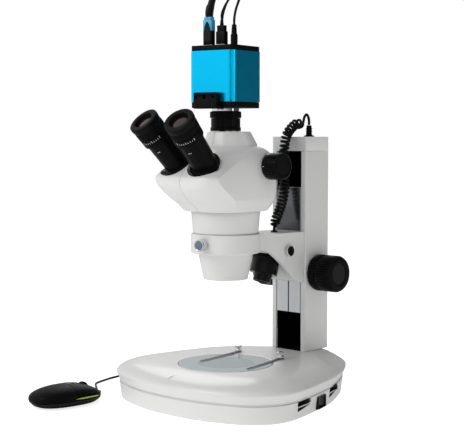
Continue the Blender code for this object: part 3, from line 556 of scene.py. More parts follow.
def hdmi_line():
    """From the camera down to the table, round the flat coil and up into the far plug."""
    x, y = COIL_CENTRE
    spiral = []
    for k in range(1, 44):
        degrees = 64.5 + k * 17
        settled = min(1.0, k * 17 / 60)
        radius = 58.1 + (51.3 - 58.1) * settled - 8.7 * max(0.0, degrees - 124.5) / 360
        lift = max(0.0, (degrees - 745) / 50)
        a = math.radians(degrees)
        spiral.append((x + radius * math.cos(a), y + radius * math.sin(a), 2 + 7 * lift ** 1.3))
    return evenly(curve_through(HDMI_ROUTE + tuple(spiral) + HDMI_END, 8), 640)


def lamp_line():
    """A straight start, then a helix round the coiled part's middle line."""
    middle = curve_through(LAMP_COILED, 24)
    total = length_of(middle)
    middle = evenly(middle, int(total * 4))
    step = total / (len(middle) - 1)
    helix, phase = [], math.pi
    for i, p in enumerate(middle):
        share = i / (len(middle) - 1)
        along = (middle[min(i + 1, len(middle) - 1)] - middle[max(i - 1, 0)]).normalized()
        across = Vector((1, 0, 0))
        other = along.cross(across)
        radius = LAMP_COIL_R * min(1, i * step / 5, (total - i * step) / 5)
        helix.append(p + (other * math.cos(phase) + across * math.sin(phase)) * radius)
        phase += 2 * math.pi * step / (6.2 - 1.3 * share)
    line = curve_through(LAMP_START, 8)[:-1] + helix[1:]
    return line + [Vector(p) for p in LAMP_END]


def cord(name, line, diameter, node):
    """A cord from end to end along the line, in place of its CAD node."""
    obj = dress(hose(name, line, diameter / 2), JACKET, None, [node])
    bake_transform(obj)
    return obj


def far_plugs():
    """The plug at the far end of the camera's picture lead and of its power lead."""
    x, y, z = FAR_HDMI
    turn = Matrix.Rotation(math.pi / 2, 4, "X")
    hdmi = prism("hdmi_far_body", [rounded(9.5, 5, 2.2)], -13, 13, BLACK, "root",
                 at(x, y + 6, z) @ turn, 0.8, ["hdmi_far_plug"])
    shell = prism("hdmi_far_shell", [rounded(7, 2.3, 0.8, (0, 0)), rounded(6.5, 1.8, 0.6)], 13, 25,
                  CHROME, "root", at(x, y + 6, z) @ turn)
    x, y, z = FAR_POWER
    body = box("power_far_body", (24, 16, 8), (x + 7, y, z), BLACK, "root", 1.2,
               replaces=["power_far_plug"])
    turn = Matrix.Rotation(-math.pi / 2, 4, "Y")
    metal = prism("power_far_shell", [rounded(2.25, 6, 0.3), rounded(1.9, 5.65, 0.2)], 5, 19,
                  CHROME, "root", at(x, y, z) @ turn)
    return (hdmi, shell), (body, metal)


def leads():
    hdmi_pieces, power_pieces = far_plugs()
    cord("hdmi_lead", hdmi_line(), HDMI_D,
         "hdmi_cable")
    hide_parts("hdmi_coil")
    cord("mouse_usb_lead", evenly(curve_through(MOUSE_ROUTE, 10), 420), USB_D,
         "mouse_lead")
    cord("power_supply_lead", evenly(curve_through(POWER_ROUTE, 10), 320), DC_D,
         "camera_power_lead")
    cord("lamp_coiled_lead", lamp_line(), LAMP_CORD_D,
         "lamp_lead")
    tie_place = facing((-46.5, 197, 266), (-0.06, 0.72, -0.69))
    prism("lead_tie", [rounded(16.5, 6.6, 5), rounded(15.3, 5.4, 4)], -2.2, 2.2, BLACK, "root",
          tie_place, 0.3)


# ---------------------------------------------------------------- base
COVER_BOTTOM_Z, RIM_Z, TOP_Z = 26.6, 37.0, 51.6
STAGE_R = 63.3
FEET = {"front_left": (-72, -72), "front_right": (72, -72), "rear_left": (-62, 122),
        "rear_right": (62, 122)}
OUTLINE = ((0, -111.5), (45.5, -108.5), (93.5, -94), (119, -78.4), (135.5, -56), (140.3, -32),
           (137, -4), (122, 60), (107.8, 97), (81, 146), (48, 182), (0, 196))
COLUMN_HALF_W, COLUMN_FRONT_Y, COLUMN_REAR_Y = 30.6, 130.9, 183.0
FRONT_WHEEL, REAR_WHEEL = (125.5, -6.0), (101.5, 84.8)
WHEEL_Z, WHEEL_R, WHEEL_THICK = 20.5, 17.0, 4.6
ROCKER_CENTRE = (130.1, 40.6, 11.8)
ROCKER_TURN = math.radians(14.5)


def towards_column(x, y, share):
    """The point moved by share towards the column's footprint, the more the further back it is."""
    half = COLUMN_HALF_W + 1.5
    near = Vector((min(half, max(-half, x)),
                   min(COLUMN_REAR_Y + 1.5, max(COLUMN_FRONT_Y - 1.5, y))))
    return Vector((x, y)).lerp(near, share * min(1.0, max(0.0, (y - 95) / 50)))


def base_outline(z, offset, count=64, rear_pull=0.0, front_extra=0.0):
    half = [Vector(p) for p in OUTLINE]
    left = [Vector((-p.x, p.y)) for p in reversed(half[1:-1])]
    line = evenly(curve_through(half + left, 8, closed=True), count, closed=True)
    ring = []
    for i, p in enumerate(line):
        along = (line[(i + 1) % count] - line[i - 1]).normalized()
        out = Vector((along.y, -along.x))
        grow = offset + front_extra * max(0.0, -out.y)
        moved = towards_column(p.x + out.x * grow, p.y + out.y * grow, rear_pull)
        ring.append((moved.x, moved.y, z))
    return ring


def circle(radius, z, count=64):
    return [(radius * math.sin(2 * math.pi * i / count), -radius * math.cos(2 * math.pi * i / count),
             z) for i in range(count)]


def base_cover():
    ledge = TOP_Z - 4.3
    rings = [base_outline(COVER_BOTTOM_Z, 3.6), base_outline(27.4, 4.2), base_outline(31.5, 5.2),
             base_outline(RIM_Z, 7.8), base_outline(38.8, 7.4, rear_pull=0.1),
             base_outline(41.6, 5.4, rear_pull=0.25), base_outline(45.2, 0.0, rear_pull=0.55),
             base_outline(48.4, -8.0, rear_pull=0.78, front_extra=-4.0),
             base_outline(50.4, -16.0, rear_pull=0.9, front_extra=-10.0),
             base_outline(TOP_Z, -25.0, rear_pull=0.97, front_extra=-14.0),
             circle(STAGE_R + 5, TOP_Z), circle(STAGE_R + 0.8, TOP_Z),
             circle(STAGE_R + GAP, TOP_Z - 0.5),
             circle(STAGE_R + GAP, ledge), circle(STAGE_R - 9, ledge)]
    cover = loft("base_cover_shell", rings, creases=[(0, None, 0, 64, 1.0), (3, None, 0, 64, 0.35),
                                                     (13, None, 0, 64, 1.0)],
                 level=2)
    walled(cover, 2.2)
    slope = at(0, -100.5, 48.6) @ Matrix.Rotation(math.radians(15), 4, "X")
    carve(cover, [prism("notch", [rounded(1.5, 8, 1.4)], -1.2, 4, None, None, slope)])
    dress(cover, WHITE, "root", ["base_cover"])


def base_tray():
    rings = [base_outline(0, -3.0, 128), base_outline(1.5, 0.2, 128), base_outline(3, 0.8, 128),
             base_outline(23.2, 3.2, 128), base_outline(23.7, 2.8, 128)]
    tray = walled(loft("base_tray_shell", rings, caps=(True, False)), 3.0)
    cutters = []
    for k, (x, y) in enumerate((FRONT_WHEEL, REAR_WHEEL)):
        cutters.append(prism("slot%d" % k, [rounded(17.2, 3.1, 1.2)], -9, 9, None, None,
                             wheel_slot(x, y)))
    cutters.append(box("window", (14, 25, 16.5), (0, 0, 0), None, None, 0, rocker_frame()))
    cutters.append(box("inlet", (12, 27.5, 20.5), (0, 196, 14), None, None))
    for x, y in FEET.values():
        cutters.append(lathe("pocket", disc(9.5, -4, 0.8), None, None, at(x, y, 0), 48))
    carve(tray, cutters)
    dress(tray, WHITE, "root", ["base_tray"])
    lip = loft("base_tray_lip", [base_outline(23.4, 2.0, 128), base_outline(COVER_BOTTOM_Z, 2.0, 128)])
    dress(walled(lip, 1.4), WHITE, "root")


def wheel_slot(x, y):
    """A frame on the right wall beside a thumbwheel, its local Z pointing outwards."""
    out = Vector((0.97, 0.24 if y < 40 else 0.36, 0))
    turn = Matrix((Vector((-out.y, out.x, 0)), Vector((0, 0, 1)), out)).transposed().to_4x4()
    return at(wall_x(y, WHEEL_Z), y, WHEEL_Z) @ turn


def disc(radius, low, high):
    return [(0, high), (radius, high), (radius, low), (0, low)]


def rocker_frame():
    return at(*ROCKER_CENTRE) @ Matrix.Rotation(ROCKER_TURN, 4, "Z")


def wall_wedge(name, start, end, high=15.9, tall=4.6):
    """A dark wedge printed on the right wall from y = start, where it is tall, to a point at end."""
    count = 16
    verts = []
    for k in range(count + 1):
        share = k / count
        y = start + (end - start) * share
        for z in (high, high - tall * (1 - share) - 0.2):
            verts.append((wall_x(y, z) + 0.12, y, z))
    faces = [(2 * k, 2 * k + 1, 2 * k + 3, 2 * k + 2) for k in range(count)]
    mark = solid(name, verts, faces)
    step = mark.modifiers.new("thick", "SOLIDIFY")
    step.thickness = 0.4 * MM
    step.offset = 0
    dress(baked(mark), MATT, "root")


def wall_x(y, z):
    """How far out the tray's right wall is at y and height z."""
    right = [p for p in base_outline(z, 0.8 + 2.4 * (z - 3) / 20.2, 256) if p[0] > 60]
    right.sort(key=lambda p: p[1])
    for p, q in zip(right, right[1:]):
        if p[1] <= y <= q[1]:
            return p[0] + (q[0] - p[0]) * (y - p[1]) / (q[1] - p[1])
    return right[-1][0]


def base_controls():
    for name, (x, y), body in (("front", FRONT_WHEEL, "front_wheel"),
                               ("rear", REAR_WHEEL, "rear_wheel")):
        half = WHEEL_THICK / 2
        profile = [(0, half - 0.6), (WHEEL_R - 2.6, half - 0.6), (WHEEL_R - 2.2, half, 0),
                   (WHEEL_R - 0.4, half, 1), (WHEEL_R, half - 0.4, 1), (WHEEL_R, 0.4 - half, 1),
                   (WHEEL_R - 0.4, -half, 1), (WHEEL_R - 2.2, -half, 0), (0, -half)]
        lathe("thumbwheel_" + name, profile, BLACK, body, at(x, y, WHEEL_Z), ribs=54, depth=0.7,
              replaces=["brightness_wheel_" + name])
        # Painted shade: a near-black pocket round each slot, and a dark back wall deep inside it, stand
        # for the shade in the slot.
        pocket = [rounded(17.1, 3.0, 1.2), rounded(16.5, WHEEL_THICK / 2 + 0.3, 0.3)]
        prism("wheel_pocket_" + name, pocket, -7, -0.9, PAINTED_SHADE, "root", wheel_slot(x, y))
        prism("wheel_pocket_back_" + name, [rounded(17.1, 3.0, 1.2)], -33.6, -33, PAINTED_SHADE, "root",
              wheel_slot(x, y))
    wall_wedge("wheel_mark_front", -22.0, 10.0)
    wall_wedge("wheel_mark_rear", 69.0, 96.0)
    rocker = rocker_frame()
    prism("rocker_bezel", [rounded(8.1, 12.3, 0.8), rounded(6.9, 11.1, 0.6)], -3, 1.6, GLOSS, "root",
          rocker @ Matrix.Rotation(math.pi / 2, 4, "Y"), 0.3)
    face = []
    for k in range(13):
        u = -1 + k / 6
        face.append((u * 10.9, 1.4 + 1.5 * u * u - 2.5))
    outline = face + [(10.9, -6.5), (-10.9, -6.5)]
    turn = rocker @ Matrix(((0, 1, 0, 0), (1, 0, 0, 0), (0, 0, 1, 0), (0, 0, 0, 1)))
    prism("rocker_key", [outline], -6.6, 6.6, GLOSS, "rocker", turn, 0.4, ["power_rocker"])
    # Painted shade: a near-black sheet behind the rocker key for the shade in its window.
    box("rocker_well_shade", (1, 24.6, 16.2), (-5.2, 0, 0), PAINTED_SHADE, "root", 0, rocker)
    power_inlet()


def power_inlet():
    """The mains inlet at the rear, with its three pins."""
    turn = at(0, 197.5, 14) @ Matrix.Rotation(-math.pi / 2, 4, "X")
    prism("inlet_frame", [rounded(13.6, 10.1, 2), rounded(10.2, 6.6, 2.4)], -12, 0.8, BLACK, "root",
          turn, 0.4, ["power_inlet"])
    prism("inlet_floor", [rounded(10.6, 7.0, 2.2)], -14, -11, MATT, "root", turn)
    for k, (x, y) in enumerate(((-5, -1.2), (0, 1.8), (5, -1.2))):
        box("inlet_pin_%d" % k, (1.6, 3.6, 9), (x, y, -7), CHROME, "root", 0.3, turn)


def stage():
    lathe("stage_glass_disc", [(0, TOP_Z - 0.06), (STAGE_R - 1.7, TOP_Z - 0.06),
                               (STAGE_R - 1.7, TOP_Z - 4), (0, TOP_Z - 4)],
          GLASS, "root", steps=128, replaces=["stage_plate"])
    lathe("stage_rim", [(STAGE_R - 1.6, TOP_Z), (STAGE_R - 0.5, TOP_Z), (STAGE_R, TOP_Z - 0.5),
                        (STAGE_R, TOP_Z - 4), (STAGE_R - 1.6, TOP_Z - 4)], STEEL, "root",
          steps=128, loop=True)
    NODES["light_panel"].data.materials.clear()
    NODES["light_panel"].data.materials.append(FROST)
    # Painted shade: a thin, darker sheet of the same glass over the stage's middle, under the head.
    lathe("stage_middle_shade", [(0, TOP_Z), (38, TOP_Z), (38, TOP_Z - 0.1), (0, TOP_Z - 0.1)],
          GLASS_SHADED, "root", steps=128)
    for x, y, tip, side in ((-38.5, 68, (-31, -17), "left"), (38.5, 68, (51, -15), "right")):
        stage_clip(x, y, tip, side)
    for name, (x, y) in FEET.items():
        lathe("rubber_foot_" + name,
              [(0, 0.5), (8.6, 0.5), (9, -0.3), (9, -1.6), (8.5, -2), (0, -2)], RUBBER, "root",
              at(x, y, 0), 64, replaces=["foot_" + name])


def stage_clip(x, y, tip, side):
    reach = Vector((tip[0] - x, tip[1] - y))
    heading = math.atan2(reach.y, reach.x)
    place = at(x, y, 0) @ Matrix.Rotation(heading, 4, "Z")
    length = reach.length
    eye = [(4.6 * math.cos(a), 4.6 * math.sin(a)) for a in
           [math.radians(35 + 290 * i / 20) for i in range(21)]]
    finger = eye + [(length - 2.5, -1.5), (length - 0.4, -0.9), (length, 0), (length - 0.4, 0.9),
                    (length - 2.5, 1.5)]
    prism("clip_finger_" + side, [finger, ring_of(2.3, count=24)], TOP_Z + 0.8, TOP_Z + 1.5, SPRING,
          "clip_" + side, place, 0.2, ["stage_clip_" + side])
    low = TOP_Z + GAP
    lathe("clip_thumb_screw_" + side,
          [(0, low + 9.6), (3.6, low + 9.6), (4.4, low + 9.3), (5, low + 8.9, 1), (5, low + 7.2, 1),
           (4.4, low + 6.7), (2.6, low + 6.4), (2.6, low + 4.4), (4.8, low + 4.2), (5, low + 3.9),
           (5, low + 2.1), (4.7, low + 1.9), (1.9, low + 1.9), (1.9, low), (0, low)],
          CHROME, "root", at(x, y, 0), ribs=30, depth=0.25, replaces=["clip_screw_" + side])


# ---------------------------------------------------------------- column and focus
COLUMN_MID_Y = (COLUMN_FRONT_Y + COLUMN_REAR_Y) / 2
COLUMN_HALF_D = (COLUMN_REAR_Y - COLUMN_FRONT_Y) / 2
SLOT_HALF_W = 22.5
CAP_SEAM_Z, CAP_TOP_Z = 332.5, 352.5
RAIL_Z = (106.0, 282.0)
FOCUS_AXIS = (157.0, 162.0)
KNOB_R, KNOB_INNER_X, KNOB_OUTER_X = 25.5, 31.2, 71.0


def slotted_outline():
    """The column's section: a rounded box, open at the front for the rail."""
    outer = rounded(COLUMN_HALF_W, COLUMN_HALF_D, 2.5, (0, COLUMN_MID_Y))
    inner = rounded(COLUMN_HALF_W - 4, COLUMN_HALF_D - 4, 1.0, (0, COLUMN_MID_Y), 2)
    front_out = [p for p in outer if p[1] > COLUMN_FRONT_Y + 2.6]
    left = [p for p in outer if p[1] <= COLUMN_FRONT_Y + 2.6 and p[0] < 0]
    right = [p for p in outer if p[1] <= COLUMN_FRONT_Y + 2.6 and p[0] > 0]
    in_back = [p for p in inner if p[1] > COLUMN_MID_Y]
    wall = COLUMN_FRONT_Y + 4
    inside = [(-SLOT_HALF_W, wall), (-COLUMN_HALF_W + 4, wall), *reversed(in_back),
              (COLUMN_HALF_W - 4, wall), (SLOT_HALF_W, wall)]
    return [*front_out, *left, (-SLOT_HALF_W, COLUMN_FRONT_Y), *inside,
            (SLOT_HALF_W, COLUMN_FRONT_Y), *right]


def column():
    prism("column_shell", [slotted_outline()], 51.9, CAP_SEAM_Z, WHITE, "root", None, 0.4,
          ["column"])
    prism("column_top", [rounded(COLUMN_HALF_W, COLUMN_HALF_D, 2.5, (0, COLUMN_MID_Y))],
          CAP_SEAM_Z + GAP, CAP_TOP_Z, WHITE, "root", None, 0.8, ["column_cap"])
    # Painted shade: near-black sheets line the hollow column's walls, floor and top, where the white
    # inside is in shade.
    half, back = COLUMN_HALF_W - 4.2, COLUMN_REAR_Y - 4.3
    front = COLUMN_FRONT_Y + 4.3
    inside_shade = [(-half, front), (-half, back), (half, back), (half, front), (half - 0.5, front),
             (half - 0.5, back - 0.5), (0.5 - half, back - 0.5), (0.5 - half, front)]
    prism("column_inside_shade", [inside_shade], 51.95, CAP_SEAM_Z - 0.5, PAINTED_SHADE, "root")
    box("column_inside_floor_shade", (2 * half, back - front + 3, 0.6), (0, (back + front - 3) / 2, 52.0), PAINTED_SHADE,
        "root")
    box("column_under_cap_shade", (2 * half, back - front, 0.8), (0, (back + front) / 2, CAP_SEAM_Z - 0.7),
        PAINTED_SHADE, "root")
    profile = [(0, CAP_TOP_Z + 0.1), (7.4, CAP_TOP_Z + 0.1), (7.4, CAP_TOP_Z + 1.6),
               (4.8, CAP_TOP_Z + 2.0)]
    z = CAP_TOP_Z + 2.6
    while z < 366:
        profile += [(4.7, z), (4.7, z + 0.9), (3.7, z + 1.1), (3.7, z + 1.7)]
        z += 2.2
    profile += [(3.6, 368.2), (3.1, 368.6), (0, 368.6)]
    lathe("lead_gland", profile, RUBBER, "root", at(4, 170.9, 0), 48, replaces=["lamp_lead_gland"])


def focus_drive():
    for side, turn in (("right", 0), ("left", math.pi)):
        place = at(0, *FOCUS_AXIS) @ Matrix.Rotation(turn, 4, "Z") @ Matrix.Rotation(
            math.pi / 2, 4, "Y")
        outer, inner = KNOB_OUTER_X, KNOB_INNER_X
        profile = [(0, outer - 1.6), (14.5, outer - 1.6), (15.2, outer - 0.2), (16.5, outer),
                   (21.4, outer), (23.4, outer - 0.8), (24.6, outer - 2.6, 0.6),
                   (KNOB_R, outer - 4.6, 1), (KNOB_R, inner + 17, 1), (24.9, inner + 15.4, 0.6),
                   (23.6, inner + 14.8, 0), (23.6, inner + 12.4, 0), (24.9, inner + 11.8, 0.6),
                   (KNOB_R, inner + 10.6, 1), (KNOB_R, inner + 3.4, 1), (24.6, inner + 1.4, 0.6),
                   (22.4, inner + 0.4, 0), (20, inner, 0), (4.3, inner, 0)]
        lathe("focus_wheel_" + side, profile, BLACK, "focus_drive", place, ribs=46, depth=1.1,
              replaces=["focus_knob_" + side])
        lathe("focus_wheel_face_" + side, [(0, outer - 1.3), (14.2, outer - 1.3), (14.2, outer - 1.7)],
              GLOSS, "focus_drive", place, 96)
        lathe("focus_sleeve_" + side, [(13, COLUMN_HALF_W), (13, KNOB_INNER_X), (6, KNOB_INNER_X)],
              CHROME, "focus_drive", place, 64)
    for node in ("focus_pinion_shaft", "focus_rack", "zoom_shaft"):
        NODES[node].data.materials.clear()
        NODES[node].data.materials.append(STEEL)


def carriage_rail():
    front = COLUMN_FRONT_Y
    half, lip = SLOT_HALF_W - 1.3, COLUMN_HALF_W - 4.6
    back, step = front + 12, front + 4.4
    face = [(-1.1, front), (-0.9, front + 1.6), (0.9, front + 1.6), (1.1, front)]
    section = [(-half, front + 0.3), (-half + 0.3, front), *face, (half - 0.3, front),
               (half, front + 0.3), (half, step), (lip, step), (lip, back), (-lip, back),
               (-lip, step), (-half, step)]
    prism("focus_rail", [section], *RAIL_Z, ALUMINIUM, "carriage", None, 0.0, ["carriage_rail"])
    # Painted shade: a dark strip in the rail's middle groove.
    box("rail_groove_shade", (1.7, 0.3, RAIL_Z[1] - RAIL_Z[0] - 1), (0, front + 1.5, sum(RAIL_Z) / 2),
        PAINTED_SHADE, "carriage")
    # Painted shade and painted reflection: a thin, darker sheet over the rail's upper part, under the
    # head.
    box("rail_upper_shade", (2 * half - 0.6, 0.3, RAIL_Z[1] - 221.4),
        (0, front - 0.1, (RAIL_Z[1] + 220.8) / 2), SHADED_RAIL, "carriage", 0.1)
    for k, x in enumerate((-SLOT_HALF_W + 0.5, SLOT_HALF_W - 0.5)):
        box("slot_shadow_%d" % k, (0.9, 0.4, 226), (x, front + 3, 193), PAINTED_SHADE, "root")


# ---------------------------------------------------------------- arm, lamp and screws
RING_Z, RING_R, BORE_R = (200.0, 226.0), 46.0, 38.0
ARM_HALF_W, ARM_BACK_Y = 28.0, 130.6
SIDE_SCREW = (96.0, 196.5)
CLAMP_ANGLE = math.radians(-85)
LAMP_PIVOT = (0.0, 84.5, 190.0)
LAMP_TILT = math.radians(18)
LAMP_R = 19.3
NOSE_R = 29.25


def arm():
    side = Matrix(((0, 0, 1, 0), (1, 0, 0, 0), (0, 1, 0, 0), (0, 0, 0, 1)))
    lower = curve_through([(44, 199.9, 0), (52, 198.4, 0), (62, 194.1, 0), (79, 182.2, 0),
                           (91.7, 173, 0), (104.7, 162.9, 0), (117.7, 153.4, 0),
                           (ARM_BACK_Y, 149.5, 0)], 4)
    profile = [(38, 201.2), *((p.x, p.y) for p in lower), (ARM_BACK_Y, 220.6), (118, 220.8),
               (78, 221.4), (48, 224.6), (38, 224.8)]
    body = prism("arm_casting", [profile], -ARM_HALF_W, ARM_HALF_W, None, None, side, 2.2)
    ring = lathe("arm_ring", [(0, RING_Z[1]), (RING_R - 1.2, RING_Z[1]), (RING_R, RING_Z[1] - 1.2),
                              (RING_R, RING_Z[0] + 1.2), (RING_R - 1.2, RING_Z[0]), (0, RING_Z[0])],
                 None, None, steps=128)
    carve(body, [ring], "UNION")
    bore = lathe("bore", disc(BORE_R, 160, 240), None, None, steps=128)
    arch = curve_through([(56, 140, 0), (56, 186, 0), (62, 197, 0), (80, 203.5, 0), (100, 206, 0),
                          (115, 202.5, 0), (121, 194, 0), (122, 186, 0), (122, 140, 0)], 4)
    recess = prism("recess", [[(p.x, p.y) for p in arch]], -23, 23, None, None, side)
    lead_hole = lathe("lead_hole", disc(3.0, 195, 240), None, None, at(2, 97, 0), 32)
    screw_hole = lathe("screw_hole", disc(2.4, 20, 32), None, None, along_x(*SIDE_SCREW), 32)
    carve(body, [bore, recess, lead_hole, screw_hole])
    dress(body, WHITE, "carriage", ["arm"])
    lathe("lead_grommet", [(2.2, 220), (2.2, 223.2), (4.2, 223.2), (4.8, 222.6), (4.8, 221),
                           (4.8, 220)], RUBBER, "carriage", at(2, 97, 0), 48, loop=True)
    half = ARM_HALF_W + GAP
    lathe("arm_screw_body", [(0, 33.4), (5.6, 33.4), (7.2, 33.0), (7.4, half + 4.4, 1),
                             (7.4, half + 0.6, 1), (7.0, half), (2.0, half), (2.0, 22), (0, 22)],
          CHROME, "arm_side_screw", along_x(*SIDE_SCREW), ribs=32, depth=0.25,
          replaces=["arm_side_screw"])
    lathe("arm_screw_cap", [(0, 34.5), (5.4, 34.5), (6.1, 34.1), (6.1, 33.0)], BLACK,
          "arm_side_screw", along_x(*SIDE_SCREW), 64)
    place = at(0, 0, 213) @ Matrix.Rotation(CLAMP_ANGLE, 4, "Z") @ Matrix.Rotation(
        math.pi / 2, 4, "Y")
    lathe("clamp_screw_head", [(0, 57.2), (6.2, 57.2), (6.6, 57.5), (7.4, 57.4), (8.0, 56.6, 1),
                               (8.0, 49.6, 1), (7.4, 48.8), (5.0, RING_R + 2.4),
                               (5.0, RING_R + GAP), (0, RING_R + GAP)], CHROME, "collar_screw",
          place, ribs=34, depth=0.35, replaces=["collar_screw"])
    lathe("clamp_screw_face", [(0, 57.35), (6.0, 57.35), (6.0, 57.1)], SLATE, "collar_screw", place,
          64)


def lamp():
    place = at(*LAMP_PIVOT) @ Matrix.Rotation(-LAMP_TILT, 4, "X")
    profile = [(0, 4), (8, 4), (10.5, 3.4), (15, 1.4), (18.2, -1.8), (LAMP_R, -4.6),
               (LAMP_R, -9), (18.7, -9.3), (18.7, -10.3), (LAMP_R, -10.6), (LAMP_R, -12),
               (18.7, -12.3), (18.7, -13.3), (LAMP_R, -13.6), (LAMP_R, -26.2), (18.6, -27),
               (13.4, -27.4), (12.9, -28), (12.2, -37.4), (11.6, -38), (10.3, -38), (9.9, -37),
               (9.9, -33), (0, -33)]
    lathe("lamp_body", profile, GLOSS, "lamp", place, 128, replaces=["lamp_housing"])
    dome = [(9.8 * math.sin(math.radians(a)), -33.2 - 3.4 * math.cos(math.radians(a)))
            for a in range(0, 91, 6)]
    lathe("lamp_lens_front", dome, CLEAR_LENS, "lamp", place, 64)
    lathe("lamp_hinge", [(0, 16), (3.2, 16), (3.2, -16), (0, -16)], CHROME, "carriage",
          along_x(LAMP_PIVOT[1], LAMP_PIVOT[2] + 3), 32)


def objective():
    low, high = RING_Z
    seat = BORE_R - GAP
    profile = [(24, 175), (31, low), (31, high + 5), (39, 249), (39, 255.4), (45.6, 255.4),
               (45.9, 254.6), (45.2, 249.5), (43.4, high + 0.9), (42.8, high + GAP),
               (seat, high + GAP), (seat, low - 0.6), (37.2, low - 1.2), (36.5, low - 1.8),
               (NOSE_R + 1.1, 169.6), (NOSE_R + 0.7, 169.3), (NOSE_R + 0.8, 168.8),
               (NOSE_R + 0.4, 165.6), (NOSE_R - 0.4, 164.8), (24.6, 164.8), (24, 165.4), (24, 170)]
    lathe("objective_shell", profile, WHITE, "carriage", steps=144, loop=True,
          replaces=["objective_barrel"])
    lathe("objective_inner", [(23.9, 165.6), (22.6, 165.6), (22.0, 168.4), (0, 168.4)], MATT,
          "carriage", steps=96)
    dome = [(21.6 * math.sin(math.radians(a)), 170.6 - 3.4 * math.cos(math.radians(a)))
            for a in range(0, 91, 6)]
    lathe("objective_lens", dome, LENS, "carriage", steps=96)


# ---------------------------------------------------------------- head
ZOOM_AXIS = (24.0, 314.5)
SEAM_HALF = 0.26
HEAD_EDGE_ANGLE = math.radians(13)
EYE_HALF, EYE_SEAT = 23.45, (-62.8, 315.5)
EYE_PITCH, EYE_SPREAD = math.radians(45.7), math.radians(5.65)
EYE_MARK_ANGLE = math.radians(-160)
# Slices of the right half: seam, front face, front corner, cheek edge, cheek, cheek rear,
# rear corner, rear seam
HEAD_SLICES = (
    (255.6, ((0, -51), (22, -50), (38, -41), (47, -25), (49.5, 5), (47, 30), (30, 48), (0, 54))),
    (256.4, ((0, -52.6), (22, -51.6), (39, -42.4), (48.4, -26), (50.6, 5), (48, 31), (31, 49.2),
             (0, 55))),
    (264.5, ((0, -59.4), (22, -59.0), (40, -50), (51, -36), (53.5, 2), (52.5, 38), (35, 54),
             (0, 58.5))),
    (271.6, ((0, -71.2), (23, -71.2), (41, -62.5), (54.6, -40.5), (55.6, 0), (55.4, 40), (37, 57),
             (0, 60.5))),
    (283.5, ((0, -83.4), (25, -84.6), (45, -77.6), (55.6, -58), (56.4, 0), (56, 42), (38, 58.4),
             (0, 61.2))),
    (293.0, ((0, -88.0), (27, -90), (48, -85), (56, -71), (56.8, 0), (56.2, 42), (38, 58.6),
             (0, 61.5))),
    (301.4, ((0, -85.6), (28, -88.2), (48, -85.4), (55.8, -74.4), (56.8, 0), (56.2, 41), (38, 57.6),
             (0, 60.5))),
    (310.0, ((0, -78.9), (28, -79.6), (46.5, -75.5), (55.4, -57), (56.6, 0), (56, 40), (37, 56.4),
             (0, 59.4))),
    (320.0, ((0, -67.4), (28, -68), (45, -61.5), (54.6, -37), (56, 4), (55.2, 38), (36.5, 54.6),
             (0, 57.4))),
    (330.5, ((0, -52), (26, -53), (41, -45), (52, -13), (54.6, 14), (53.6, 34), (35, 50), (0, 53.6))),
    (337.2, ((0, -38), (19, -37), (34, -26), (45, 0), (47.5, 15), (45.5, 29), (30, 43), (0, 47.2))),
    (340.6, ((0, -26), (13, -25), (25.5, -17.5), (35.5, -1), (38, 12), (35, 25.5), (23, 36.5),
             (0, 40.8))),
    (343.6, ((0, -25.4), (12.6, -24.4), (25, -17.2), (35.6, -1.6), (38.4, 10.8), (34.8, 25),
             (22, 36), (0, 40))),
    (359.0, ((0, -20.8), (10.4, -20), (20.2, -14.8), (28.6, -2), (31, 8), (27.2, 20.2), (16.2, 31),
             (0, 34.4))),
    (359.9, ((0, -20.2), (10.2, -19.4), (19.6, -14.4), (28, -2), (30.4, 8), (26.6, 19.8),
             (15.8, 30.4), (0, 33.8))),
    (360.0, ((0, -12), (6, -11.4), (11, -8), (14.6, 0), (15, 4), (13, 10), (8, 15), (0, 17))),
)


def eye_frame(sign):
    """Local Z runs up the eyetube's axis from its seat on the head."""
    place = at(sign * EYE_HALF, *EYE_SEAT) @ Matrix.Rotation(math.pi / 2 - EYE_PITCH, 4, "X")
    return place @ Matrix.Rotation(sign * EYE_SPREAD, 4, "Y")


def head():
    count = len(HEAD_SLICES[0][1])
    creases = [(3, None, 0, 4, 0.6), (6, None, 0, 3, 0.35), (None, 3, 2, 10, 1.0),
               (11, None, 0, count - 1, 1.0), (13, None, 0, count - 1, 0.9),
               (0, None, 0, count - 1, 0.8), (1, None, 0, count - 1, 0.5)]
    for side, sign in (("right", 1), ("left", -1)):
        rings = [[(sign * max(x, SEAM_HALF), y, z) for x, y in points] for z, points in HEAD_SLICES]
        half = loft("head_half_" + side, rings, closed=False, creases=creases, level=3)
        walled(half, 2.4)
        seat = eye_frame(sign)
        cutters = [lathe("pad", disc(24.9, 0, 14), None, None, seat @ at(sign * 1.3, 0, 0), 128),
                   lathe("well", disc(16.0, -16, 6), None, None, seat, 64),
                   lathe("bore", disc(9.0, -90, 90), None, None, along_x(*ZOOM_AXIS), 48),
                   box("cheek", (6, 42, 42), (sign * 60.2, *ZOOM_AXIS), None, None)]
        carve(half, cutters)
        dress(half, WHITE, "carriage", ["head_shell_" + side])
        half.data.set_sharp_from_angle(angle=HEAD_EDGE_ANGLE)


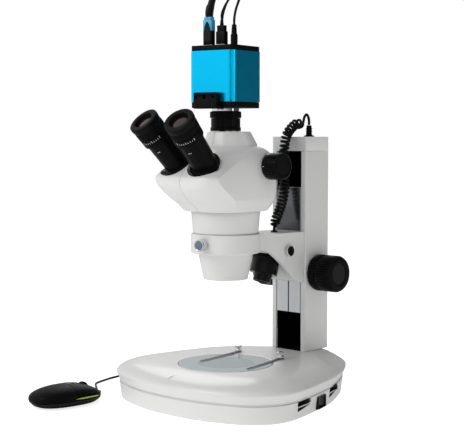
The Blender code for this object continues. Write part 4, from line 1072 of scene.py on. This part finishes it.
# ---------------------------------------------------------------- eyetubes and zoom
def eyetubes():
    for side, sign in (("right", 1), ("left", -1)):
        seat = eye_frame(sign)
        lathe("tube_foot_" + side, [(15.3, 52), (16.4, 52), (16.8, 51.4), (16.8, 6.2), (17.4, 5.4),
                                    (19.6, 5.0), (20.4, 4.2), (20.4, GAP), (15.3, GAP)],
              BLACK, "eyetube_" + side, seat, 128, loop=True, replaces=["eyetube_" + side])
        marked = seat @ Matrix.Rotation(EYE_MARK_ANGLE, 4, "Z")
        box("tube_line_" + side, (4.6, 0.3, 0.5), (0, 0, 0), MARK, "eyetube_" + side, 0,
            marked @ at(0, 16.7, 39.5))
        box("foot_line_" + side, (0.6, 0.3, 2.6), (0, 0, 0), MARK, "eyetube_" + side, 0,
            marked @ at(0, 20.3, 2.4))
        ring = [(15.4, 62), (18.5, 62), (19.2, 61.6), (19.4, 61), (19.4, 56.4), (19.0, 56.2, 0),
                (19.0, 55.8, 0), (19.4, 55.5, 1), (19.4, 50.4, 1), (19.0, 49.6), (17.2, 49.5),
                (17.2, 55.5), (15.4, 55.5)]
        lathe("dioptre_ring_" + side, ring, BLACK, "diopter_" + side, seat, ribs=60, depth=0.5,
              loop=True, replaces=["diopter_ring_" + side])
        for k in range(-4, 5):
            tall = 3.2 if k % 4 == 0 else 2.0
            turn = Matrix.Rotation(math.radians(-150 + 9 * k), 4, "Z")
            box("dioptre_mark_%s_%d" % (side, k + 4), (0.45, 0.25, tall), (0, 0, 0), MARK,
                "diopter_" + side, 0, seat @ turn @ at(0, 19.38, 56.8 + tall / 2))
        knurl = [(15, 24), (15, 62.3), (18.8, 62.3), (19.6, 63.2, 1), (19.6, 71.2, 1),
                 (19.0, 72.2), (18.6, 72.6), (19.3, 73.2), (19.9, 75.6), (20.2, 78.4),
                 (20.2, 80.8), (19.8, 81.9), (18.6, 82.4), (14.6, 82.4), (13.2, 82.0), (12.4, 80.8),
                 (12, 78.6), (11.4, 77), (0, 77)]
        lathe("eyepiece_shell_" + side, knurl, RUBBER, "eyepiece_" + side, seat, ribs=56, depth=0.6,
              replaces=["eyepiece_" + side])
        dome = [(11 * math.sin(math.radians(a)), 77.0 + 1.8 * math.cos(math.radians(a)))
                for a in range(0, 91, 6)]
        lathe("eye_lens_" + side, dome, LENS, "eyepiece_" + side, seat, 64)


def zoom_drive():
    inner, outer = 56.4, 80.0
    for side, turn in (("right", 0), ("left", math.pi)):
        place = at(0, *ZOOM_AXIS) @ Matrix.Rotation(turn, 4, "Z") @ Matrix.Rotation(
            math.pi / 2, 4, "Y")
        profile = [(0, outer - 1.2), (11.4, outer - 1.2), (12, outer - 0.2), (13, outer),
                   (15.2, outer), (16.6, outer - 0.9), (17.3, outer - 2.2, 0.5),
                   (17.5, outer - 3.2, 1), (17.5, inner + 7.4, 1), (17.2, inner + 6.4, 0),
                   (17.5, inner + 6, 0), (17.5, inner + 1, 0), (17.0, inner, 0), (4.3, inner, 0)]
        lathe("zoom_wheel_" + side, profile, BLACK, "zoom_drive", place, ribs=40, depth=0.9,
              replaces=["zoom_knob_" + side])
        lathe("zoom_face_" + side, [(0, outer - 0.9), (11.2, outer - 0.9), (11.2, outer - 1.3)],
              GLOSS, "zoom_drive", place, 64)
        for k in range(6):
            box("zoom_mark_%s_%d" % (side, k), (0.5, 0.25, 2.6), (0, 0, 0), MARK, "zoom_drive", 0,
                place @ Matrix.Rotation(math.radians(60 * k), 4, "Z") @ at(0, 17.45, inner + 3.4))


# ---------------------------------------------------------------- camera
CAMERA_TURN = math.radians(8)
CAMERA_HALF, PLATE_HALF = 35.0, 33.3
CAMERA_Z = (390.3, 398.0, 464.0, 471.0)
PLUG_ROW_Y = -8.0
HDMI_X, USB_X, DC_X = -20.8, -0.4, 19.0


def on_camera(x=0.0, y=0.0, z=0.0):
    return Matrix.Rotation(CAMERA_TURN, 4, "Z") @ at(x, y, z)


def grooved_square(half, corner, groove=1.8):
    """A square with rounded corners, each with an upright hollow down its middle."""
    points = []
    for quarter in range(4):
        turn = Matrix.Rotation(math.pi / 2 * quarter, 2)
        middle = half - corner
        for k in range(25):
            a = math.pi / 2 * k / 24
            dip = groove * max(0.0, math.sin(math.pi * (k - 7) / 10)) if 7 < k < 17 else 0.0
            reach = corner - dip
            p = turn @ Vector((middle + reach * math.cos(a), middle + reach * math.sin(a)))
            points.append((p.x, p.y))
    return points


def camera_body():
    lathe("adapter_tube", [(15, 377), (18.9, 377), (19.3, 376.6), (19.3, 365.6), (19.8, 365.2),
                           (20.2, 364.6), (20.2, 361), (19.8, 360.3), (15, 360.3)], BLACK,
          "carriage", steps=128, loop=True, replaces=["camera_adapter"])
    aim = Vector((0.55, -0.83, 0))
    lathe("adapter_set_screw", [(0, 20.6), (1.0, 20.6), (1.0, 21.4), (1.9, 21.4), (2.1, 21.1),
                                (2.1, 19.0), (0, 19.0)], BLACK, "carriage",
          facing((0, 0, 371.4), aim), 32)
    lathe("mount_ring", [(15, 386), (19.9, 386), (20.7, 385.2, 1), (20.7, 378, 1), (19.9, 377.3),
                         (15, 377.3)], BLACK, "carriage", ribs=60, depth=0.5, loop=True,
          replaces=["camera_mount_ring"])
    lathe("mount_collar", [(15, 390), (17.6, 390), (18, 389.6), (18, 386.6), (17.6, 386.2),
                           (15, 386.2)], CHROME, "carriage", steps=128, loop=True)
    low, shell_low, shell_high, high = CAMERA_Z
    plate = rounded(PLATE_HALF, PLATE_HALF, 5)
    prism("camera_floor_plate", [plate], low, shell_low, BLACK, "carriage", on_camera(), 0.8,
          ["camera_bottom_plate"])
    prism("camera_case", [grooved_square(CAMERA_HALF, 9.0),
                          rounded(CAMERA_HALF - 3.4, CAMERA_HALF - 3.4, 2)], shell_low + GAP,
          shell_high, CYAN, "carriage", on_camera(), 0.0, ["camera_shell"])
    prism("camera_roof_plate", [plate], shell_high + GAP, high, BLACK, "carriage", on_camera(), 0.8,
          ["camera_top_plate"])
    for k, (x, y) in enumerate(((-28, -28), (28, -28), (28, 28), (-28, 28))):
        lathe("roof_screw_%d" % k, [(0, high - 0.1), (1.1, high - 0.1), (1.1, high + 0.25),
                                    (2.2, high + 0.25), (2.5, high - 0.3)], STEEL, "carriage",
              on_camera(x, y, 0), 32)
    bracket()
    plugs(high)


def bracket():
    """The slotted bracket on the camera's front edge, with its two fixing screws."""
    face_y = -CAMERA_HALF - GAP - 9.6
    turn = Matrix.Rotation(math.pi / 2, 4, "X")
    place = on_camera(-1.7, face_y, 399.5) @ turn
    holes = [ring_of(r, (x, 4.4), 32) for x, r in ((-14.2, 1.9), (-1.0, 2.8), (12.6, 1.9))]
    prism("bracket_plate", [rounded(18, 10.5, 1.4), *holes], -3.2, 0, BLACK, "carriage", place, 0.35,
          ["camera_bracket"])
    prism("bracket_block", [rounded(18, 10.5, 1.4)], -9.6, -3.3, MATT, "carriage", place, 0.35)
    for k, x in enumerate((-14.2, 12.6)):
        lathe("bracket_screw_%d" % k, [(0, 0.1), (1.0, 0.1), (1.0, 0.9), (2.0, 0.9), (2.3, 0.4),
                                       (2.3, -0.4)], GLOSS, "carriage", place @ at(x, -5.6, 0), 32)


def plugs(top):
    foot = top + GAP
    place = on_camera(HDMI_X, PLUG_ROW_Y, 0)
    prism("hdmi_shell", [rounded(7.4, 4.5, 2.2)], foot + 2, 491.5, BLACK, "carriage", place, 0.4,
          ["hdmi_plug"])
    prism("hdmi_collar", [rounded(7.5, 4.5, 2.2)], 491.6, 505.8, SKY, "carriage", place, 0.6)
    prism("hdmi_metal", [rounded(6.8, 2.6, 0.8)], top - 1, foot + 2.4, CHROME, "carriage", place)
    arch = curve_through([(-5.2, 477, 0), (-5.2, 492, 0), (-3.4, 499, 0), (0, 503.4, 0),
                          (3.4, 499, 0), (5.2, 492, 0), (5.2, 477, 0)], 6)
    for k, turn in enumerate((0, math.pi)):
        upright = place @ Matrix.Rotation(turn, 4, "Z") @ Matrix.Rotation(math.pi / 2, 4, "X")
        prism("hdmi_panel_%d" % k, [[(p.x, p.y) for p in arch]], 4.3, 4.75, GLOSS, "carriage",
              upright, 0.15)
    prism("hdmi_neck", [rounded(6.4, 4.1, 2.4)], 506.2, 509.4, SKY, "carriage", place, 0.8)
    boot = [p for p in hdmi_line()[:12] if p.z < 525]
    dress(hose("hdmi_boot", boot, 4.9, 32), JACKET, "carriage")
    place = on_camera(USB_X, PLUG_ROW_Y, 0)
    prism("usb_body", [rounded(7.4, 4, 1.6)], foot + 2.2, 489.9, BLACK, "carriage", place, 0.6,
          ["usb_plug"])
    prism("usb_metal", [rounded(6.0, 2.25, 0.3)], top - 1, foot + 2.6, CHROME, "carriage", place)
    prism("usb_shoulder", [rounded(6.2, 3.4, 1.8)], 489.8, 497.7, BLACK, "carriage", place, 0.7)
    relief(2.9, 1.8, 497.4, 505.6, "usb_strain_relief", place)
    place = on_camera(DC_X, PLUG_ROW_Y, 0)
    lathe("power_plug_body", [(0, 486), (3.6, 486), (4.6, 484.8), (4.6, foot + 1.6), (4.2, foot + 1),
                              (0, foot + 1)], BLACK, "carriage", place, 64,
          replaces=["camera_power_plug"])
    lathe("power_plug_metal", [(3, top - 1), (3, foot + 1.4)], CHROME, "carriage", place, 48)
    relief(3.9, 3.2, 485.6, 498, "power_strain_relief", place)


def relief(low_r, high_r, low, high, name, place):
    """A ribbed strain relief that narrows upwards."""
    profile = [(0, low)]
    count = int((high - low) / 1.6)
    for k in range(count):
        share = k / count
        radius = low_r + (high_r - low_r) * share
        z = low + (high - low) * share
        profile += [(radius, z), (radius, z + 0.9), (radius - 0.6, z + 1.0), (radius - 0.6, z + 1.5)]
    lathe(name, profile + [(high_r - 0.4, high), (0, high)], RUBBER, "carriage", place, 48)


# ---------------------------------------------------------------- mouse
MOUSE_PLACE, MOUSE_TURN = (-150.0, -152.5), math.radians(-8)
MOUSE_LENGTH, MOUSE_WIDTH = 102.0, 63.0
MOUSE_LEVELS = ((-1.7, 0.80), (2, 0.90), (7, 0.985), (11, 1.0), (15, 0.965), (18.5, 0.86),
                (21.5, 0.70), (24, 0.48), (25.3, 0.25))
NOSE_DROP, NOSE_FROM_Y = 0.25, 13.0
BUTTON_FLOOR, KEY_GAP = 13.5, 1.15
MOUSE_WHEEL, MOUSE_WHEEL_R = (0.0, 27.0, 16.5), 8.5


def on_mouse(x=0.0, y=0.0, z=0.0):
    return at(*MOUSE_PLACE, 0) @ Matrix.Rotation(MOUSE_TURN, 4, "Z") @ at(x, y, z)


def mouse_point(angle, share, z, grow=0.0):
    """A point of the mouse's form, grown outwards by grow, in the mouse's own frame."""
    c, s = math.cos(angle), math.sin(angle)
    x = math.copysign(abs(c) ** 0.8, c) * (MOUSE_WIDTH / 2 * share + grow)
    y = math.copysign(abs(s) ** 0.8, s) * (MOUSE_LENGTH / 2 * share + grow)
    drop = NOSE_DROP * (max(0, y - NOSE_FROM_Y) / (MOUSE_LENGTH / 2 - NOSE_FROM_Y)) ** 2
    return Vector((x, y, z * (1 - drop) if z > 0 else z))


def level_share(z):
    for (z0, s0), (z1, s1) in zip(MOUSE_LEVELS, MOUSE_LEVELS[1:]):
        if z <= z1:
            return s0 + (s1 - s0) * (z - z0) / (z1 - z0)
    return MOUSE_LEVELS[-1][1]


def mouse_form(name, grow=0.0, level=2):
    levels = list(MOUSE_LEVELS) + [(25.9, 0.08)]
    rings = [[mouse_point(2 * math.pi * i / 48, share, z, grow) for i in range(48)]
             for z, share in levels]
    return loft(name, rings, caps=(True, True), level=level, matrix=on_mouse())


def mouse():
    body = mouse_form("mouse_shell")
    front = box("front", (80, 60, 40), (0, 31.5, BUTTON_FLOOR - KEY_GAP + 20), None, None, 0,
                on_mouse())
    well = box("well", (8.4, 19, 30), (0, 27, 22), None, None, 0, on_mouse())
    carve(body, [front, well])
    dress(body, MATT, "root", ["mouse_body"])
    for side, sign in (("left", -1), ("right", 1)):
        button = mouse_form("mouse_key_" + side)
        keep = box("keep", (34, 60, 40), (sign * 21.6, 32.2, BUTTON_FLOOR + 20), None, None, 0,
                   on_mouse())
        carve(button, [keep], "INTERSECT")
        dress(button, MATT, "mouse_%s_button" % side, ["mouse_button_" + side])
    spine = mouse_form("mouse_spine")
    keep = box("keep", (8.4, 60, 40), (0, 32.2, BUTTON_FLOOR - KEY_GAP + 20), None, None, 0, on_mouse())
    slot = box("slot", (7.4, 20, 60), (0, 27, 22), None, None, 0, on_mouse())
    carve(spine, [keep], "INTERSECT")
    carve(spine, [slot])
    dress(spine, GLOSS, "root")
    axle = on_mouse() @ along_x(MOUSE_WHEEL[1], MOUSE_WHEEL[2])
    lathe("scroll_wheel", [(0, 3.0), (6.4, 3.0), (7.8, 2.8), (MOUSE_WHEEL_R, 2.0, 1),
                           (MOUSE_WHEEL_R, -2.0, 1), (7.8, -2.8), (6.4, -3.0), (0, -3.0)],
          RUBBER, "mouse_scroll", axle, ribs=30, depth=0.7, replaces=["mouse_wheel"])
    prism("mode_key", [rounded(2.6, 4.2, 2.2)], 22, 25.9, GLOSS, "root", on_mouse(0, 9.5, 0), 0.5)
    band("mouse_lime_band", -0.02, 0.74, 9.4, 11.2, LIME)
    band("mouse_gloss_skirt_right", -1.2, 1.25, 3.0, 7.2, GLOSS)
    band("mouse_gloss_skirt_left", math.pi - 1.25, math.pi + 1.2, 3.0, 7.2, GLOSS)
    lathe("mouse_lead_relief", [(0, 0), (3.4, 0), (2.2, 7), (0, 7)], RUBBER, "root",
          facing((-143.3, -103.2, 7.0), (-0.12, 0.97, -0.05)), 32)


def band(name, first, last, low, high, material):
    """A thin strip laid on the mouse's side between two heights, narrower at its ends."""
    rings = []
    for k in range(29):
        share = k / 28
        angle = first + (last - first) * share
        waist = min(1, 6 * share, 6 * (1 - share)) ** 0.5
        middle, half = (low + high) / 2, (high - low) / 2 * max(0.08, waist)
        row = []
        for z, grow in ((middle - half, -0.3), (middle - half, 0.35), (middle + half, 0.35),
                        (middle + half, -0.3)):
            row.append(mouse_point(angle, level_share(z), z, grow))
        rings.append(row)
    strip = loft(name, rings, caps=(True, True), matrix=on_mouse())
    dress(strip, material, "root")


# ---------------------------------------------------------------- scene
def main():
    camera()
    leads()
    studio()
    for make in (base_cover, base_tray, base_controls, stage, column, focus_drive, carriage_rail,
                 arm, lamp, objective, head, eyetubes, zoom_drive, camera_body, mouse):
        make()


main()
